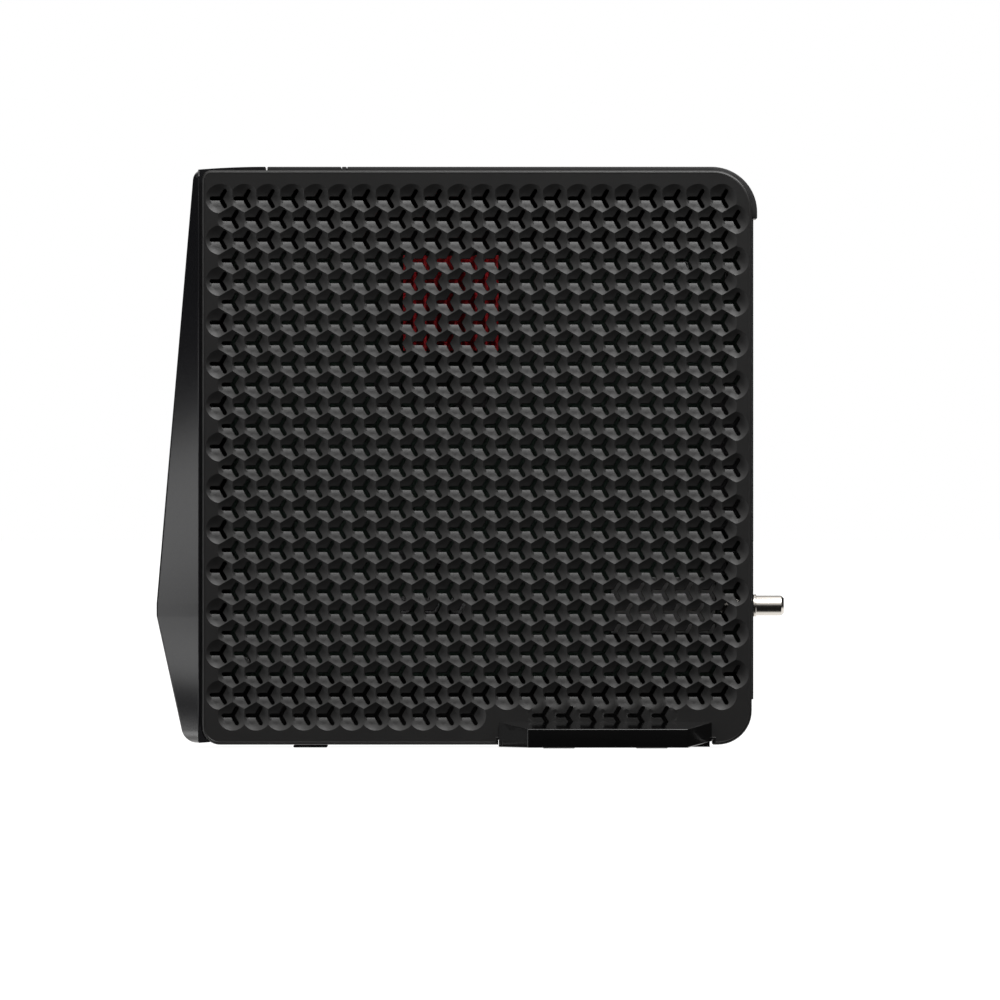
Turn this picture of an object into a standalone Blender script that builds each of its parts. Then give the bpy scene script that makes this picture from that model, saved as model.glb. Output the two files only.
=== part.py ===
"""Cable modem that stands on edge, modelled as an assembly of separate named sub-parts.

Frame: metres, +Z up. -X is the front (the nose), +X is the rear (the sockets) and -Y the left side.
The origin is on the floor, midway between the tip of the nose and the tip of the coaxial connector.
"""

import math

import bmesh
import bpy
from mathutils import Matrix, Vector

MM = 0.001

# Clearance between neighbours that touch or nest
GAP = 0.3 * MM

# Side covers
BODY_WIDTH = 58.0 * MM
COVER_LENGTH = 242.0 * MM
COVER_HEIGHT = 252.8 * MM
COVER_LIFT = 1.4 * MM
COVER_WALL = 2.2 * MM
COVER_EDGE = 1.2 * MM
CORNER_FRONT_LOW = 8.0 * MM
CORNER_FRONT_TOP = 4.2 * MM
CORNER_REAR_LOW = 16.5 * MM
CORNER_REAR_TOP = 17.0 * MM

# Coarse grille of Y-shaped slots in each side cover
SLOT_PITCH = 21.0 * MM
SLOT_ARM = 7.8 * MM
SLOT_WIDTH = 2.4 * MM
SLOT_MARGIN = 12.0 * MM

# Band between the covers: tongue of the nose, key, spine and rear panel
BAND_WIDTH = 40.0 * MM
BAND_THICK = 4.0 * MM
BAND_RISE = 1.7 * MM
SPINE_CORNER = 18.0 * MM
SPINE_PROUD = 2.5 * MM
SPINE_DROP = 22.9 * MM
PANEL_THICK = 2.5 * MM
PANEL_PROUD = 0.8 * MM
PANEL_FOOT = 19.9 * MM

# Nose
NOSE_REACH = 20.1 * MM
NOSE_SEAM = 0.9 * MM
NOSE_WALL = 2.4 * MM
NOSE_RIM_DEPTH = 4.0 * MM
NOSE_RIM_WALL = 2.0 * MM
NOSE_TIP_LOW = 58.1 * MM
NOSE_TIP_HIGH = 63.4 * MM
NOSE_TOP_SETBACK = 16.4 * MM
NOSE_LOW_SETBACK = 12.3 * MM
NOSE_CORNER = 5.0 * MM
NOSE_LOW_RISE = 0.8 * MM
NOSE_THINNEST = 0.6 * MM
NOSE_RING_STEP = 30.0 * MM
TONGUE_LENGTH = 28.7 * MM
TONGUE_ROOT = 0.4 * MM
LENS_LENGTH = 62.0 * MM
LENS_WIDTH = 5.0 * MM
LENS_BELOW_TOP = 84.0 * MM
LENS_DEPTH = 1.6 * MM
LENS_SUNK = 0.2 * MM
PIPE_THICK = 4.0 * MM
LIGHT_BOARD_SPARE = 6.0 * MM

# Keys
KEY_LENGTH = 32.6 * MM
KEY_NOTCH = 0.9 * MM
KEY_GROOVE = 2.6 * MM
KEY_THICK = 3.0 * MM
KEY_TRAVEL = 1.0 * MM
KEY_STEM = 3.0 * MM
GUIDE_THICK = 2.0 * MM
POWER_KEY_WIDTH = 9.0 * MM
POWER_KEY_TALL = 12.0 * MM
POWER_KEY_HEIGHT = 81.0 * MM
POWER_KEY_LENGTH = 9.0 * MM
POWER_KEY_TRAVEL = 2.0 * MM
POWER_KEY_EDGE = 0.6 * MM
POWER_SWITCH_DEPTH = 10.0 * MM
REAR_SWITCH_WIDTH = 9.0 * MM
RESET_RADIUS = 1.2 * MM
RESET_LENGTH = 6.0 * MM
RESET_BELOW_TOP = 24.0 * MM
RESET_RECESS = 2.0 * MM
RESET_TRAVEL = 0.8 * MM

# Stand, pads and foot
STAND_LENGTH = 94.4 * MM
STAND_WIDTH = 106.0 * MM
STAND_FROM_REAR = 17.3 * MM
STAND_TAPER_FRONT = 12.8 * MM
STAND_TAPER_REAR = 10.8 * MM
STAND_INNER_TALL = 11.0 * MM
STAND_OUTER_TALL = 8.2 * MM
STAND_LIFT = 0.4 * MM
STAND_EDGE = 0.6 * MM
BRIDGE_THICK = 2.8 * MM
BRIDGE_OVERLAP = 3.0 * MM
PAD_LENGTH = 14.0 * MM
PAD_WIDTH = 8.0 * MM
PAD_SUNK = 0.6 * MM
FOOT_LENGTH = 15.0 * MM
FOOT_WIDTH = 28.0 * MM
FOOT_FROM_FRONT = 40.1 * MM

# Sockets in the rear panel
COAX_REACH = 14.5 * MM
COAX_RADIUS = 4.4 * MM
COAX_BORE = 3.2 * MM
COAX_HEIGHT = 62.5 * MM
COAX_INNER_LENGTH = 12.0 * MM
COAX_NUT_ACROSS = 10.0 * MM
COAX_NUT_THICK = 1.2 * MM
COAX_BACK_WALL = 3.0 * MM
COAX_FLOOR = 2.0 * MM
COAX_MOUTH = 1.5 * MM
COAX_EDGE = 0.9 * MM
COAX_PIN_RADIUS = 0.6 * MM
ETHERNET_PORTS = 4
ETHERNET_PITCH = 16.0 * MM
ETHERNET_DEPTH = 21.0 * MM
ETHERNET_WIDTH = 13.5 * MM
ETHERNET_HEIGHT = 96.0 * MM
SOCKET_WIDTH = 8.8 * MM
SOCKET_TALL = 11.8 * MM
SOCKET_DEPTH = 15.0 * MM
LATCH_WIDTH = 2.0 * MM
LATCH_TALL = 5.0 * MM
COMB_THICK = 0.8 * MM
COMB_SPREAD = 9.0 * MM
COMB_DEPTH = 10.0 * MM
DC_WIDTH = 9.0 * MM
DC_TALL = 10.0 * MM
DC_DEPTH = 14.0 * MM
DC_HEIGHT = 38.0 * MM
DC_BORE = 3.0 * MM
DC_BORE_DEPTH = 9.5 * MM
DC_PIN_RADIUS = 1.0 * MM

# Board and what is on it
BOARD_THICK = 1.6 * MM
BOARD_FACE = 6.0 * MM
BOARD_FROM_FRONT = 12.0 * MM
BOARD_FROM_PANEL = 1.0 * MM
BOARD_BELOW_TOP = 36.0 * MM
BOARD_LIFT = 31.0 * MM
BOARD_SCREW_INSET = 6.0 * MM
SINK_SIZE = 42.0 * MM
SINK_BASE = 3.0 * MM
SINK_FINS = 10
SINK_FIN_THICK = 1.3 * MM
SINK_FROM_FRONT = 88.5 * MM
SINK_BELOW_TOP = 37.3 * MM
SINK_TO_COVER = 6.0 * MM
CHIP_SIZE = 27.0 * MM
CHIP_THICK = 2.4 * MM
THERMAL_PAD = 1.0 * MM
SHIELD_LENGTH = 46.0 * MM
SHIELD_TALL = 25.0 * MM
SHIELD_THICK = 5.0 * MM
MEMORY_LENGTH = 14.0 * MM
MEMORY_TALL = 10.0 * MM
MEMORY_THICK = 1.2 * MM
MEMORY_SPACE = 4.0 * MM
SHIELD_FROM_COAX = 2.0 * MM
FLASH_SIZE = 12.0 * MM
CAPACITOR_RADIUS = 4.0 * MM
CAPACITOR_TALL = 10.0 * MM
CAPACITOR_EDGE = 0.4 * MM
INDUCTOR_SIZE = 7.0 * MM
INDUCTOR_TALL = 4.0 * MM
SWITCH_SIZE = 6.0 * MM
SWITCH_TALL = 3.4 * MM

# Screws
SCREW_RADIUS = 1.3 * MM
SCREW_HEAD_RADIUS = 2.8 * MM
SCREW_HEAD_THICK = 1.2 * MM
SCREW_HEAD_EDGE = 0.4 * MM
SCREW_LENGTH = 8.0 * MM
STAND_SCREW_LENGTH = 4.4 * MM
BOSS_RADIUS = 3.4 * MM
BLOCK_SIZE = 9.0 * MM

ARC_STEPS = 5
ROUND_SIDES = 24

# Places that follow from the sizes above
HALF_BODY = BODY_WIDTH / 2
HALF_BAND = BAND_WIDTH / 2
HALF_CHANNEL = HALF_BAND + GAP
COVER_FRONT = (NOSE_REACH - COVER_LENGTH - COAX_REACH) / 2
COVER_REAR = COVER_FRONT + COVER_LENGTH
COVER_TOP = COVER_LIFT + COVER_HEIGHT
BAND_TOP = COVER_TOP + BAND_RISE
INNER_FACE = HALF_BODY - COVER_WALL
NOSE_TIP = COVER_FRONT - NOSE_REACH
NOSE_REAR = COVER_FRONT - NOSE_SEAM
LENS_HEIGHT = COVER_TOP - LENS_BELOW_TOP
PANEL_FACE = COVER_REAR + PANEL_PROUD
PANEL_BACK = PANEL_FACE - PANEL_THICK
PANEL_LOW = COVER_LIFT + PANEL_FOOT
SPINE_LOW = BAND_TOP - SPINE_DROP
PANEL_TOP = SPINE_LOW - GAP
SPINE_FACE = COVER_REAR + SPINE_PROUD
COAX_TIP = COVER_REAR + COAX_REACH
STAND_REAR = COVER_REAR - STAND_FROM_REAR
STAND_FRONT = STAND_REAR - STAND_LENGTH
BRIDGE_TOP = STAND_LIFT + BRIDGE_THICK
NOTCH_TOP = BRIDGE_TOP + GAP
BOARD_FRONT = COVER_FRONT + BOARD_FROM_FRONT
BOARD_REAR = PANEL_BACK - BOARD_FROM_PANEL
BOARD_TOP = COVER_TOP - BOARD_BELOW_TOP
BOARD_BACK = BOARD_FACE + BOARD_THICK
TONGUE_END = NOSE_REAR + TONGUE_LENGTH
KEY_FRONT = TONGUE_END + KEY_NOTCH
KEY_REAR = KEY_FRONT + KEY_LENGTH
SPINE_FRONT = KEY_REAR + KEY_GROOVE
SOCKET_FACE = PANEL_FACE - GAP
SINK_FRONT = COVER_FRONT + SINK_FROM_FRONT
SINK_LOW = COVER_TOP - SINK_BELOW_TOP - SINK_SIZE
SINK_MID_X = SINK_FRONT + SINK_SIZE / 2
SINK_MID_Z = SINK_LOW + SINK_SIZE / 2
RESET_HEIGHT = PANEL_TOP - RESET_BELOW_TOP


# ---- scene, materials and modelling helpers ----

def clear_scene():
    """Empties the file, so that the script can be run again."""
    for item in list(bpy.data.objects):
        bpy.data.objects.remove(item, do_unlink=True)


def new_collection(name):
    group = bpy.data.collections.new(name)
    bpy.context.scene.collection.children.link(group)
    return group


def new_material(name, colour, roughness, metallic=0.0):
    finish = bpy.data.materials.new(name)
    finish.use_nodes = True
    shader = finish.node_tree.nodes["Principled BSDF"]
    shader.inputs["Base Color"].default_value = (*colour, 1.0)
    shader.inputs["Roughness"].default_value = roughness
    shader.inputs["Metallic"].default_value = metallic
    return finish


clear_scene()
PARTS = new_collection("cable_modem")
CUTTERS = new_collection("cutters")

COVER_PLASTIC = new_material("cover_plastic", (0.032, 0.031, 0.034), 0.5)
NOSE_PLASTIC = new_material("nose_plastic", (0.045, 0.043, 0.044), 0.4)
BAND_PLASTIC = new_material("band_plastic", (0.022, 0.022, 0.024), 0.35)
STAND_PLASTIC = new_material("stand_plastic", (0.004, 0.004, 0.005), 0.12)
JACK_PLASTIC = new_material("jack_plastic", (0.015, 0.015, 0.016), 0.4)
INSULATOR = new_material("insulator", (0.75, 0.73, 0.68), 0.5)
SOFT_RUBBER = new_material("soft_rubber", (0.012, 0.012, 0.012), 0.85)
LENS_PLASTIC = new_material("lens_plastic", (0.02, 0.02, 0.025), 0.1)
PIPE_PLASTIC = new_material("pipe_plastic", (0.8, 0.82, 0.84), 0.2)
NICKEL = new_material("nickel", (0.62, 0.6, 0.57), 0.22, 1.0)
GOLD = new_material("gold", (0.83, 0.6, 0.25), 0.25, 1.0)
STEEL = new_material("steel", (0.5, 0.5, 0.5), 0.35, 1.0)
RED_ANODISED = new_material("red_anodised", (0.2, 0.012, 0.016), 0.4, 0.7)
BOARD_LAMINATE = new_material("board_laminate", (0.01, 0.09, 0.03), 0.45)
CHIP_EPOXY = new_material("chip_epoxy", (0.02, 0.02, 0.02), 0.6)
PAD_SILICONE = new_material("pad_silicone", (0.35, 0.4, 0.5), 0.8)
CAN_ALUMINIUM = new_material("can_aluminium", (0.7, 0.7, 0.72), 0.3, 1.0)


def finish_part(part, finish):
    """Puts a part in the object's collection with its own material."""
    for group in list(part.users_collection):
        group.objects.unlink(part)
    PARTS.objects.link(part)
    part.data.materials.clear()
    part.data.materials.append(finish)
    return part


def hide_tool(tool):
    """Puts a cutter or a piece that is joined to another in the cutters' collection."""
    for group in list(tool.users_collection):
        group.objects.unlink(tool)
    CUTTERS.objects.link(tool)
    tool.hide_render = True
    tool.display_type = "WIRE"
    return tool


def mesh_object(name, shape, place):
    mesh = bpy.data.meshes.new(name)
    shape.to_mesh(mesh)
    shape.free()
    item = bpy.data.objects.new(name, mesh)
    item.location = place
    bpy.context.scene.collection.objects.link(item)
    return item


def box(name, low, high):
    """A box between two corners, with its origin at its middle."""
    size = Vector(high) - Vector(low)
    shape = bmesh.new()
    bmesh.ops.create_cube(shape, size=1.0, matrix=Matrix.Diagonal((*size, 1.0)))
    return mesh_object(name, shape, (Vector(low) + Vector(high)) / 2)


TURN_TO = {
    "X": Matrix.Rotation(math.pi / 2, 4, "Y"),
    "Y": Matrix.Rotation(-math.pi / 2, 4, "X"),
    "Z": Matrix.Identity(4),
}


def rod(name, start, end, radius, axis, sides=ROUND_SIDES):
    """A cylinder along an axis from start to end, where start is its lower end."""
    middle = (Vector(start) + Vector(end)) / 2
    length = (Vector(end) - Vector(start)).length
    shape = bmesh.new()
    bmesh.ops.create_cone(
        shape,
        cap_ends=True,
        segments=sides,
        radius1=radius,
        radius2=radius,
        depth=length,
        matrix=TURN_TO[axis],
    )
    item = mesh_object(name, shape, middle)
    item.data.shade_smooth()
    item.data.set_sharp_from_angle(angle=math.radians(35))
    return item


def rounded(corners, steps=ARC_STEPS):
    """Points of a closed outline, given its corners as (across, up, radius)."""
    points = []
    for index, (across, up, radius) in enumerate(corners):
        corner = Vector((across, up))
        if radius == 0:
            points.append(corner)
            continue
        back = (Vector(corners[index - 1][:2]) - corner).normalized()
        ahead = (Vector(corners[(index + 1) % len(corners)][:2]) - corner).normalized()
        half_turn = back.angle(ahead) / 2
        reach = radius / math.tan(half_turn)
        centre = corner + (back + ahead).normalized() * radius / math.sin(half_turn)
        first = corner + back * reach - centre
        last = corner + ahead * reach - centre
        for step in range(steps + 1):
            points.append(centre + first.normalized().slerp(last.normalized(), step / steps) * radius)
    return points


# How a flat outline's (across, up) lie in the world for each axis that it is extruded along
LAY_ACROSS = {
    "X": Matrix(((0, 0, 1, 0), (1, 0, 0, 0), (0, 1, 0, 0), (0, 0, 0, 1))),
    "Y": Matrix(((1, 0, 0, 0), (0, 0, -1, 0), (0, 1, 0, 0), (0, 0, 0, 1))),
    "Z": Matrix.Identity(4),
}


def plate(name, outlines, low, high, axis):
    """Flat outlines, the first with the others as holes, made solid from low to high along an axis."""
    curve = bpy.data.curves.new(name, "CURVE")
    curve.dimensions = "2D"
    curve.fill_mode = "BOTH"
    curve.extrude = (high - low) / 2
    for outline in outlines:
        spline = curve.splines.new("POLY")
        spline.points.add(len(outline) - 1)
        for point, (across, up) in zip(spline.points, outline):
            point.co = (across, up, 0.0, 1.0)
        spline.use_cyclic_u = True
    drawn = bpy.data.objects.new(name + "_outline", curve)
    drawn.matrix_world = Matrix.Translation(axis_vector(axis) * (low + high) / 2) @ LAY_ACROSS[axis]
    bpy.context.scene.collection.objects.link(drawn)
    bpy.context.view_layer.update()
    evaluated = drawn.evaluated_get(bpy.context.evaluated_depsgraph_get())
    mesh = bpy.data.meshes.new_from_object(evaluated)
    shape = bmesh.new()
    shape.from_mesh(mesh)
    bmesh.ops.remove_doubles(shape, verts=shape.verts, dist=0.00001)
    bmesh.ops.dissolve_limit(shape, angle_limit=math.radians(0.5), verts=shape.verts, edges=shape.edges)
    bmesh.ops.recalc_face_normals(shape, faces=shape.faces)
    shape.to_mesh(mesh)
    shape.free()
    mesh.name = name
    item = bpy.data.objects.new(name, mesh)
    item.matrix_world = drawn.matrix_world
    bpy.context.scene.collection.objects.link(item)
    bpy.data.objects.remove(drawn, do_unlink=True)
    return item


def axis_vector(axis):
    return Vector([float(axis == letter) for letter in "XYZ"])


def bevel(part, width, segments=1):
    modifier = part.modifiers.new("edges", "BEVEL")
    modifier.width = width
    modifier.segments = segments
    modifier.limit_method = "ANGLE"
    modifier.angle_limit = math.radians(40)


def combine(part, tool, operation):
    modifier = part.modifiers.new(tool.name, "BOOLEAN")
    modifier.operation = operation
    modifier.solver = "EXACT"
    modifier.object = hide_tool(tool)
    return part


def cut(part, *tools):
    for tool in tools:
        combine(part, tool, "DIFFERENCE")
    return part


def join(part, *tools):
    for tool in tools:
        combine(part, tool, "UNION")
    return part


def loft(name, rings):
    """A closed solid through rings of points with the same count, capped at both ends."""
    shape = bmesh.new()
    rows = [[shape.verts.new(point) for point in ring] for ring in rings]
    count = len(rows[0])
    for lower, upper in zip(rows, rows[1:]):
        for index in range(count):
            after = (index + 1) % count
            shape.faces.new((lower[index], lower[after], upper[after], upper[index]))
    shape.faces.new(rows[0][::-1])
    shape.faces.new(rows[-1])
    bmesh.ops.recalc_face_normals(shape, faces=shape.faces)
    return mesh_object(name, shape, (0, 0, 0))


# ---- side covers ----

def cover_outline():
    """A cover's outline, with the recess in its lower edge that the stand's bridge lies in."""
    return rounded([
        (COVER_FRONT, COVER_LIFT, CORNER_FRONT_LOW),
        (STAND_FRONT - GAP, COVER_LIFT, 0),
        (STAND_FRONT - GAP, NOTCH_TOP, 0),
        (STAND_REAR + GAP, NOTCH_TOP, 0),
        (STAND_REAR + GAP, COVER_LIFT, 0),
        (COVER_REAR, COVER_LIFT, CORNER_REAR_LOW),
        (COVER_REAR, COVER_TOP, CORNER_REAR_TOP),
        (COVER_FRONT, COVER_TOP, CORNER_FRONT_TOP),
    ])


def hollow_outline():
    """The space inside a cover: a wall inside its outline, with a floor that stays above the recess."""
    wall = COVER_WALL
    low = COVER_LIFT + wall
    floor = NOTCH_TOP + wall
    return rounded([
        (COVER_FRONT + wall, low, CORNER_FRONT_LOW - wall),
        (STAND_FRONT - GAP - wall, low, 0),
        (STAND_FRONT - GAP - wall, floor, 0),
        (COVER_REAR - wall, floor, CORNER_REAR_LOW - wall),
        (COVER_REAR - wall, COVER_TOP - wall, CORNER_REAR_TOP - wall),
        (COVER_FRONT + wall, COVER_TOP - wall, CORNER_FRONT_TOP - wall),
    ])


def soften_outer_edge(part, side):
    """Rounds the edge all round a cover's outer face."""
    shape = bmesh.new()
    shape.from_mesh(part.data)
    outer = max(vertex.co.z * -side for vertex in shape.verts)
    rim = [
        edge for edge in shape.edges
        if all(abs(vertex.co.z * -side - outer) < 0.01 * MM for vertex in edge.verts)
        and edge.calc_face_angle() > math.radians(45)
    ]
    bmesh.ops.bevel(shape, geom=rim, offset=COVER_EDGE, segments=2, profile=0.5, affect="EDGES")
    shape.to_mesh(part.data)
    shape.free()


def slot_outline():
    """A Y-shaped slot with one arm to the front and two to the rear."""
    half = SLOT_WIDTH / 2
    crotch = half / math.sin(math.radians(60))
    points = []
    for angle in (60, 180, 300):
        along = Vector((math.cos(math.radians(angle)), math.sin(math.radians(angle))))
        across = Vector((-along.y, along.x))
        between = Vector((math.cos(math.radians(angle + 60)), math.sin(math.radians(angle + 60))))
        points += [along * SLOT_ARM - across * half, along * SLOT_ARM + across * half, between * crotch]
    return points


def slot_centres():
    """Centres of the slots, in rows set half a pitch apart that fill the middle of a cover."""
    row_step = SLOT_PITCH * math.sin(math.radians(60))
    columns = int((COVER_LENGTH - 2 * SLOT_MARGIN) / SLOT_PITCH)
    rows = int((COVER_HEIGHT - 2 * SLOT_MARGIN) / row_step) + 1
    left = (COVER_FRONT + COVER_REAR) / 2 - columns * SLOT_PITCH / 2
    low = (COVER_LIFT + COVER_TOP) / 2 - (rows - 1) * row_step / 2
    for row in range(rows):
        for column in range(columns + 1 - row % 2):
            yield Vector((left + (column + 0.5 * (row % 2)) * SLOT_PITCH, low + row * row_step))


def slot_cutter(name, side):
    """Every slot of one cover as one cutter through its outer wall."""
    shape = bmesh.new()
    depth = COVER_WALL + 2 * MM
    start = side * (HALF_BODY + MM)
    outline = slot_outline()
    for centre in slot_centres():
        corners = [shape.verts.new((centre.x + p.x, start, centre.y + p.y)) for p in outline]
        face = shape.faces.new(corners)
        pushed = bmesh.ops.extrude_face_region(shape, geom=[face])
        moved = [item for item in pushed["geom"] if isinstance(item, bmesh.types.BMVert)]
        bmesh.ops.translate(shape, verts=moved, vec=(0, -side * depth, 0))
    bmesh.ops.recalc_face_normals(shape, faces=shape.faces)
    return mesh_object(name, shape, (0, 0, 0))


def stand_screw_places():
    reach = STAND_LENGTH / 4
    middle = (STAND_FRONT + STAND_REAR) / 2
    return [
        (middle + end * reach, side * BODY_WIDTH / 4)
        for side in (-1, 1)
        for end in (-1, 1)
    ]


def side_cover(name, side):
    """One half of the case: an outer wall with flanges that meet the other cover below and the band above."""
    spans = sorted((side * HALF_BODY, side * GAP / 2))
    cover = plate(name, [cover_outline()], *spans, "Y")
    soften_outer_edge(cover, side)
    hollow = plate(name + "_hollow", [hollow_outline()], *sorted((side * INNER_FACE, -side * MM)), "Y")
    inner = INNER_FACE * side
    mouth_span = sorted((inner, -side * MM))
    mouth = box(
        name + "_mouth",
        (COVER_FRONT - MM, mouth_span[0], COVER_LIFT + COVER_WALL),
        (COVER_FRONT + COVER_WALL + MM, mouth_span[1], COVER_TOP - COVER_WALL),
    )
    depth = CORNER_REAR_TOP / 2
    channel = plate(
        name + "_channel",
        [[
            Vector((COVER_FRONT - MM, COVER_TOP - depth)),
            Vector((COVER_REAR - depth, COVER_TOP - depth)),
            Vector((COVER_REAR - depth, PANEL_LOW - GAP)),
            Vector((COVER_REAR + MM, PANEL_LOW - GAP)),
            Vector((COVER_REAR + MM, COVER_TOP + MM)),
            Vector((COVER_FRONT - MM, COVER_TOP + MM)),
        ]],
        *sorted((side * HALF_CHANNEL, -side * MM)),
        "Y",
    )
    cut(cover, hollow, mouth, channel, slot_cutter(name + "_slots", side))
    for index, (x, y) in enumerate(stand_screw_places()):
        if y * side > 0:
            floor = (x, y, COVER_LIFT)
            top = (x, y, 3 * COVER_WALL + NOTCH_TOP)
            cut(cover, rod(f"{name}_hole_{index}", floor, top, SCREW_RADIUS + GAP, "Z", 16))
    return finish_part(cover, COVER_PLASTIC)


def board_screw_places():
    inset = BOARD_SCREW_INSET
    return [
        (x, z)
        for x in (BOARD_FRONT + inset, BOARD_REAR - inset - ETHERNET_DEPTH)
        for z in (BOARD_LIFT + inset, BOARD_TOP - inset)
    ]


def panel_screw_heights():
    inset = BLOCK_SIZE / 2 + GAP
    return [PANEL_LOW + inset, PANEL_TOP - inset]


def add_bosses(cover):
    """Posts that the board is screwed to, and blocks that the rear panel is screwed to."""
    seat = BOARD_BACK + GAP
    root = INNER_FACE + COVER_WALL / 2
    for index, (x, z) in enumerate(board_screw_places()):
        join(cover, rod(f"boss_{index}", (x, seat, z), (x, root, z), BOSS_RADIUS, "Y", 16))
    for index, height in enumerate(panel_screw_heights()):
        half = BLOCK_SIZE / 2
        low = (PANEL_BACK - GAP - 1.5 * BLOCK_SIZE, -half, height - half)
        join(cover, box(f"block_{index}", low, (PANEL_BACK - GAP, root, height + half)))
    for index, (x, z) in enumerate(board_screw_places()):
        deep = seat + SCREW_LENGTH
        cut(cover, rod(f"boss_hole_{index}", (x, seat - MM, z), (x, deep, z), SCREW_RADIUS + GAP, "Y", 12))
    for index, height in enumerate(panel_screw_heights()):
        deep = PANEL_BACK - GAP - SCREW_LENGTH
        mouth = (PANEL_FACE, 0, height)
        hole = rod(f"block_hole_{index}", (deep, 0, height), mouth, SCREW_RADIUS + GAP, "X", 12)
        cut(cover, hole)


# ---- nose ----

def nose_profile():
    """Front edge of the nose from its lower corner to its top, as (x, z) points with height rising."""
    low = COVER_LIFT + NOSE_LOW_RISE
    slope_top = NOSE_TIP + NOSE_TOP_SETBACK
    slope_low = NOSE_TIP + NOSE_LOW_SETBACK
    outline = rounded([
        (NOSE_REAR, low, 0),
        (slope_low, low, NOSE_CORNER),
        (NOSE_TIP, NOSE_TIP_LOW, NOSE_CORNER),
        (NOSE_TIP, NOSE_TIP_HIGH, NOSE_CORNER),
        (slope_top, COVER_TOP, NOSE_CORNER),
        (NOSE_REAR, COVER_TOP, 0),
    ], 4)
    points = outline[1:-1]
    dense = [points[0]]
    for before, after in zip(points, points[1:]):
        steps = max(1, round((after - before).length / NOSE_RING_STEP))
        for step in range(1, steps + 1):
            dense.append(before.lerp(after, step / steps))
    return [Vector((min(point.x, NOSE_REAR - NOSE_THINNEST), point.y)) for point in dense]


def nose_block():
    rings = []
    for x, z in nose_profile():
        rings.append([
            (NOSE_REAR, -HALF_BODY, z),
            (x, -HALF_BAND, z),
            (x, HALF_BAND, z),
            (NOSE_REAR, HALF_BODY, z),
        ])
    return loft("front_cover", rings)


def nose_hollow():
    """The space inside the nose, open to the rear through its rim."""
    back = NOSE_REAR + NOSE_RIM_DEPTH + MM
    side = INNER_FACE - GAP - NOSE_RIM_WALL
    floor = COVER_LIFT + COVER_WALL + GAP + NOSE_RIM_WALL
    ceiling = COVER_TOP - COVER_WALL - GAP - NOSE_RIM_WALL
    front = HALF_BAND - NOSE_WALL / 2
    rings = []
    for x, z in nose_profile():
        inner = x + NOSE_WALL
        if floor < z < ceiling and inner < NOSE_REAR - NOSE_WALL:
            rings.append([
                (back, -side, z),
                (NOSE_REAR - NOSE_WALL / 2, -side, z),
                (inner, -front, z),
                (inner, front, z),
                (NOSE_REAR - NOSE_WALL / 2, side, z),
                (back, side, z),
            ])
    return loft("nose_hollow", rings)


def slant_frame():
    """The frame of the nose's front face at the lens: +Z up the face and -X out of it."""
    rise = COVER_TOP - NOSE_TIP_HIGH
    lean = math.atan2(NOSE_TOP_SETBACK, rise)
    x = NOSE_TIP + NOSE_TOP_SETBACK * (LENS_HEIGHT - NOSE_TIP_HIGH) / rise
    return Matrix.Translation((x, 0, LENS_HEIGHT)) @ Matrix.Rotation(lean, 4, "Y")


def slanted_box(name, depth_from, depth_to, width, length):
    """A box at the lens, between two depths behind the nose's front face."""
    item = box(name, (depth_from, -width / 2, -length / 2), (depth_to, width / 2, length / 2))
    item.matrix_world = slant_frame() @ Matrix.Translation(item.location)
    return item


def front_cover():
    nose = nose_block()
    side = INNER_FACE - GAP
    rim_low = COVER_LIFT + COVER_WALL + GAP
    rim_top = COVER_TOP - COVER_WALL - GAP
    rim = box("nose_rim", (NOSE_REAR - MM, -side, rim_low), (NOSE_REAR + NOSE_RIM_DEPTH, side, rim_top))
    tongue_floor = BAND_TOP - BAND_THICK
    tongue = plate(
        "nose_tongue",
        [[
            Vector((NOSE_REAR - TONGUE_ROOT, tongue_floor)),
            Vector((TONGUE_END, tongue_floor)),
            Vector((TONGUE_END, BAND_TOP)),
            Vector((TONGUE_END - TONGUE_LENGTH / 2, BAND_TOP - BAND_RISE / 3)),
            Vector((NOSE_REAR - TONGUE_ROOT, COVER_TOP)),
        ]],
        -HALF_BAND,
        HALF_BAND,
        "Y",
    )
    join(nose, rim, tongue)
    window = slanted_box(
        "lens_window", -NOSE_WALL, 2 * NOSE_WALL, LENS_WIDTH + 2 * GAP, LENS_LENGTH + 2 * GAP
    )
    cut(nose, nose_hollow(), window)
    return finish_part(nose, NOSE_PLASTIC)


def lens():
    pane = slanted_box("status_lens", LENS_SUNK, LENS_DEPTH, LENS_WIDTH, LENS_LENGTH)
    return finish_part(pane, LENS_PLASTIC)


def light_pipe():
    start = LENS_DEPTH + GAP
    pipe = slanted_box("light_pipe", start, start + PIPE_THICK, LENS_WIDTH - MM, LENS_LENGTH - 2 * MM)
    return finish_part(pipe, PIPE_PLASTIC)


def light_board():
    start = LENS_DEPTH + PIPE_THICK + 2 * GAP
    length = LENS_LENGTH + LIGHT_BOARD_SPARE
    board = slanted_box("light_board", start, start + BOARD_THICK, 3 * LENS_WIDTH, length)
    return finish_part(board, BOARD_LAMINATE)


# ---- band: key, guide, spine and rear panel ----

def spine():
    """The strip along the top that bends round the rear corner and ends in a step above the panel."""
    floor = BAND_TOP - BAND_THICK
    inner = SPINE_FACE - BAND_THICK
    outline = rounded([
        (SPINE_FRONT, floor, 0),
        (inner, floor, SPINE_CORNER - BAND_THICK),
        (inner, SPINE_LOW, 0),
        (SPINE_FACE, SPINE_LOW, 0),
        (SPINE_FACE, BAND_TOP, SPINE_CORNER),
        (SPINE_FRONT, BAND_TOP, 0),
    ], 8)
    return finish_part(plate("spine", [outline], -HALF_BAND, HALF_BAND, "Y"), BAND_PLASTIC)


def key_floor():
    return BAND_TOP - KEY_THICK - KEY_TRAVEL - GAP


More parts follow.
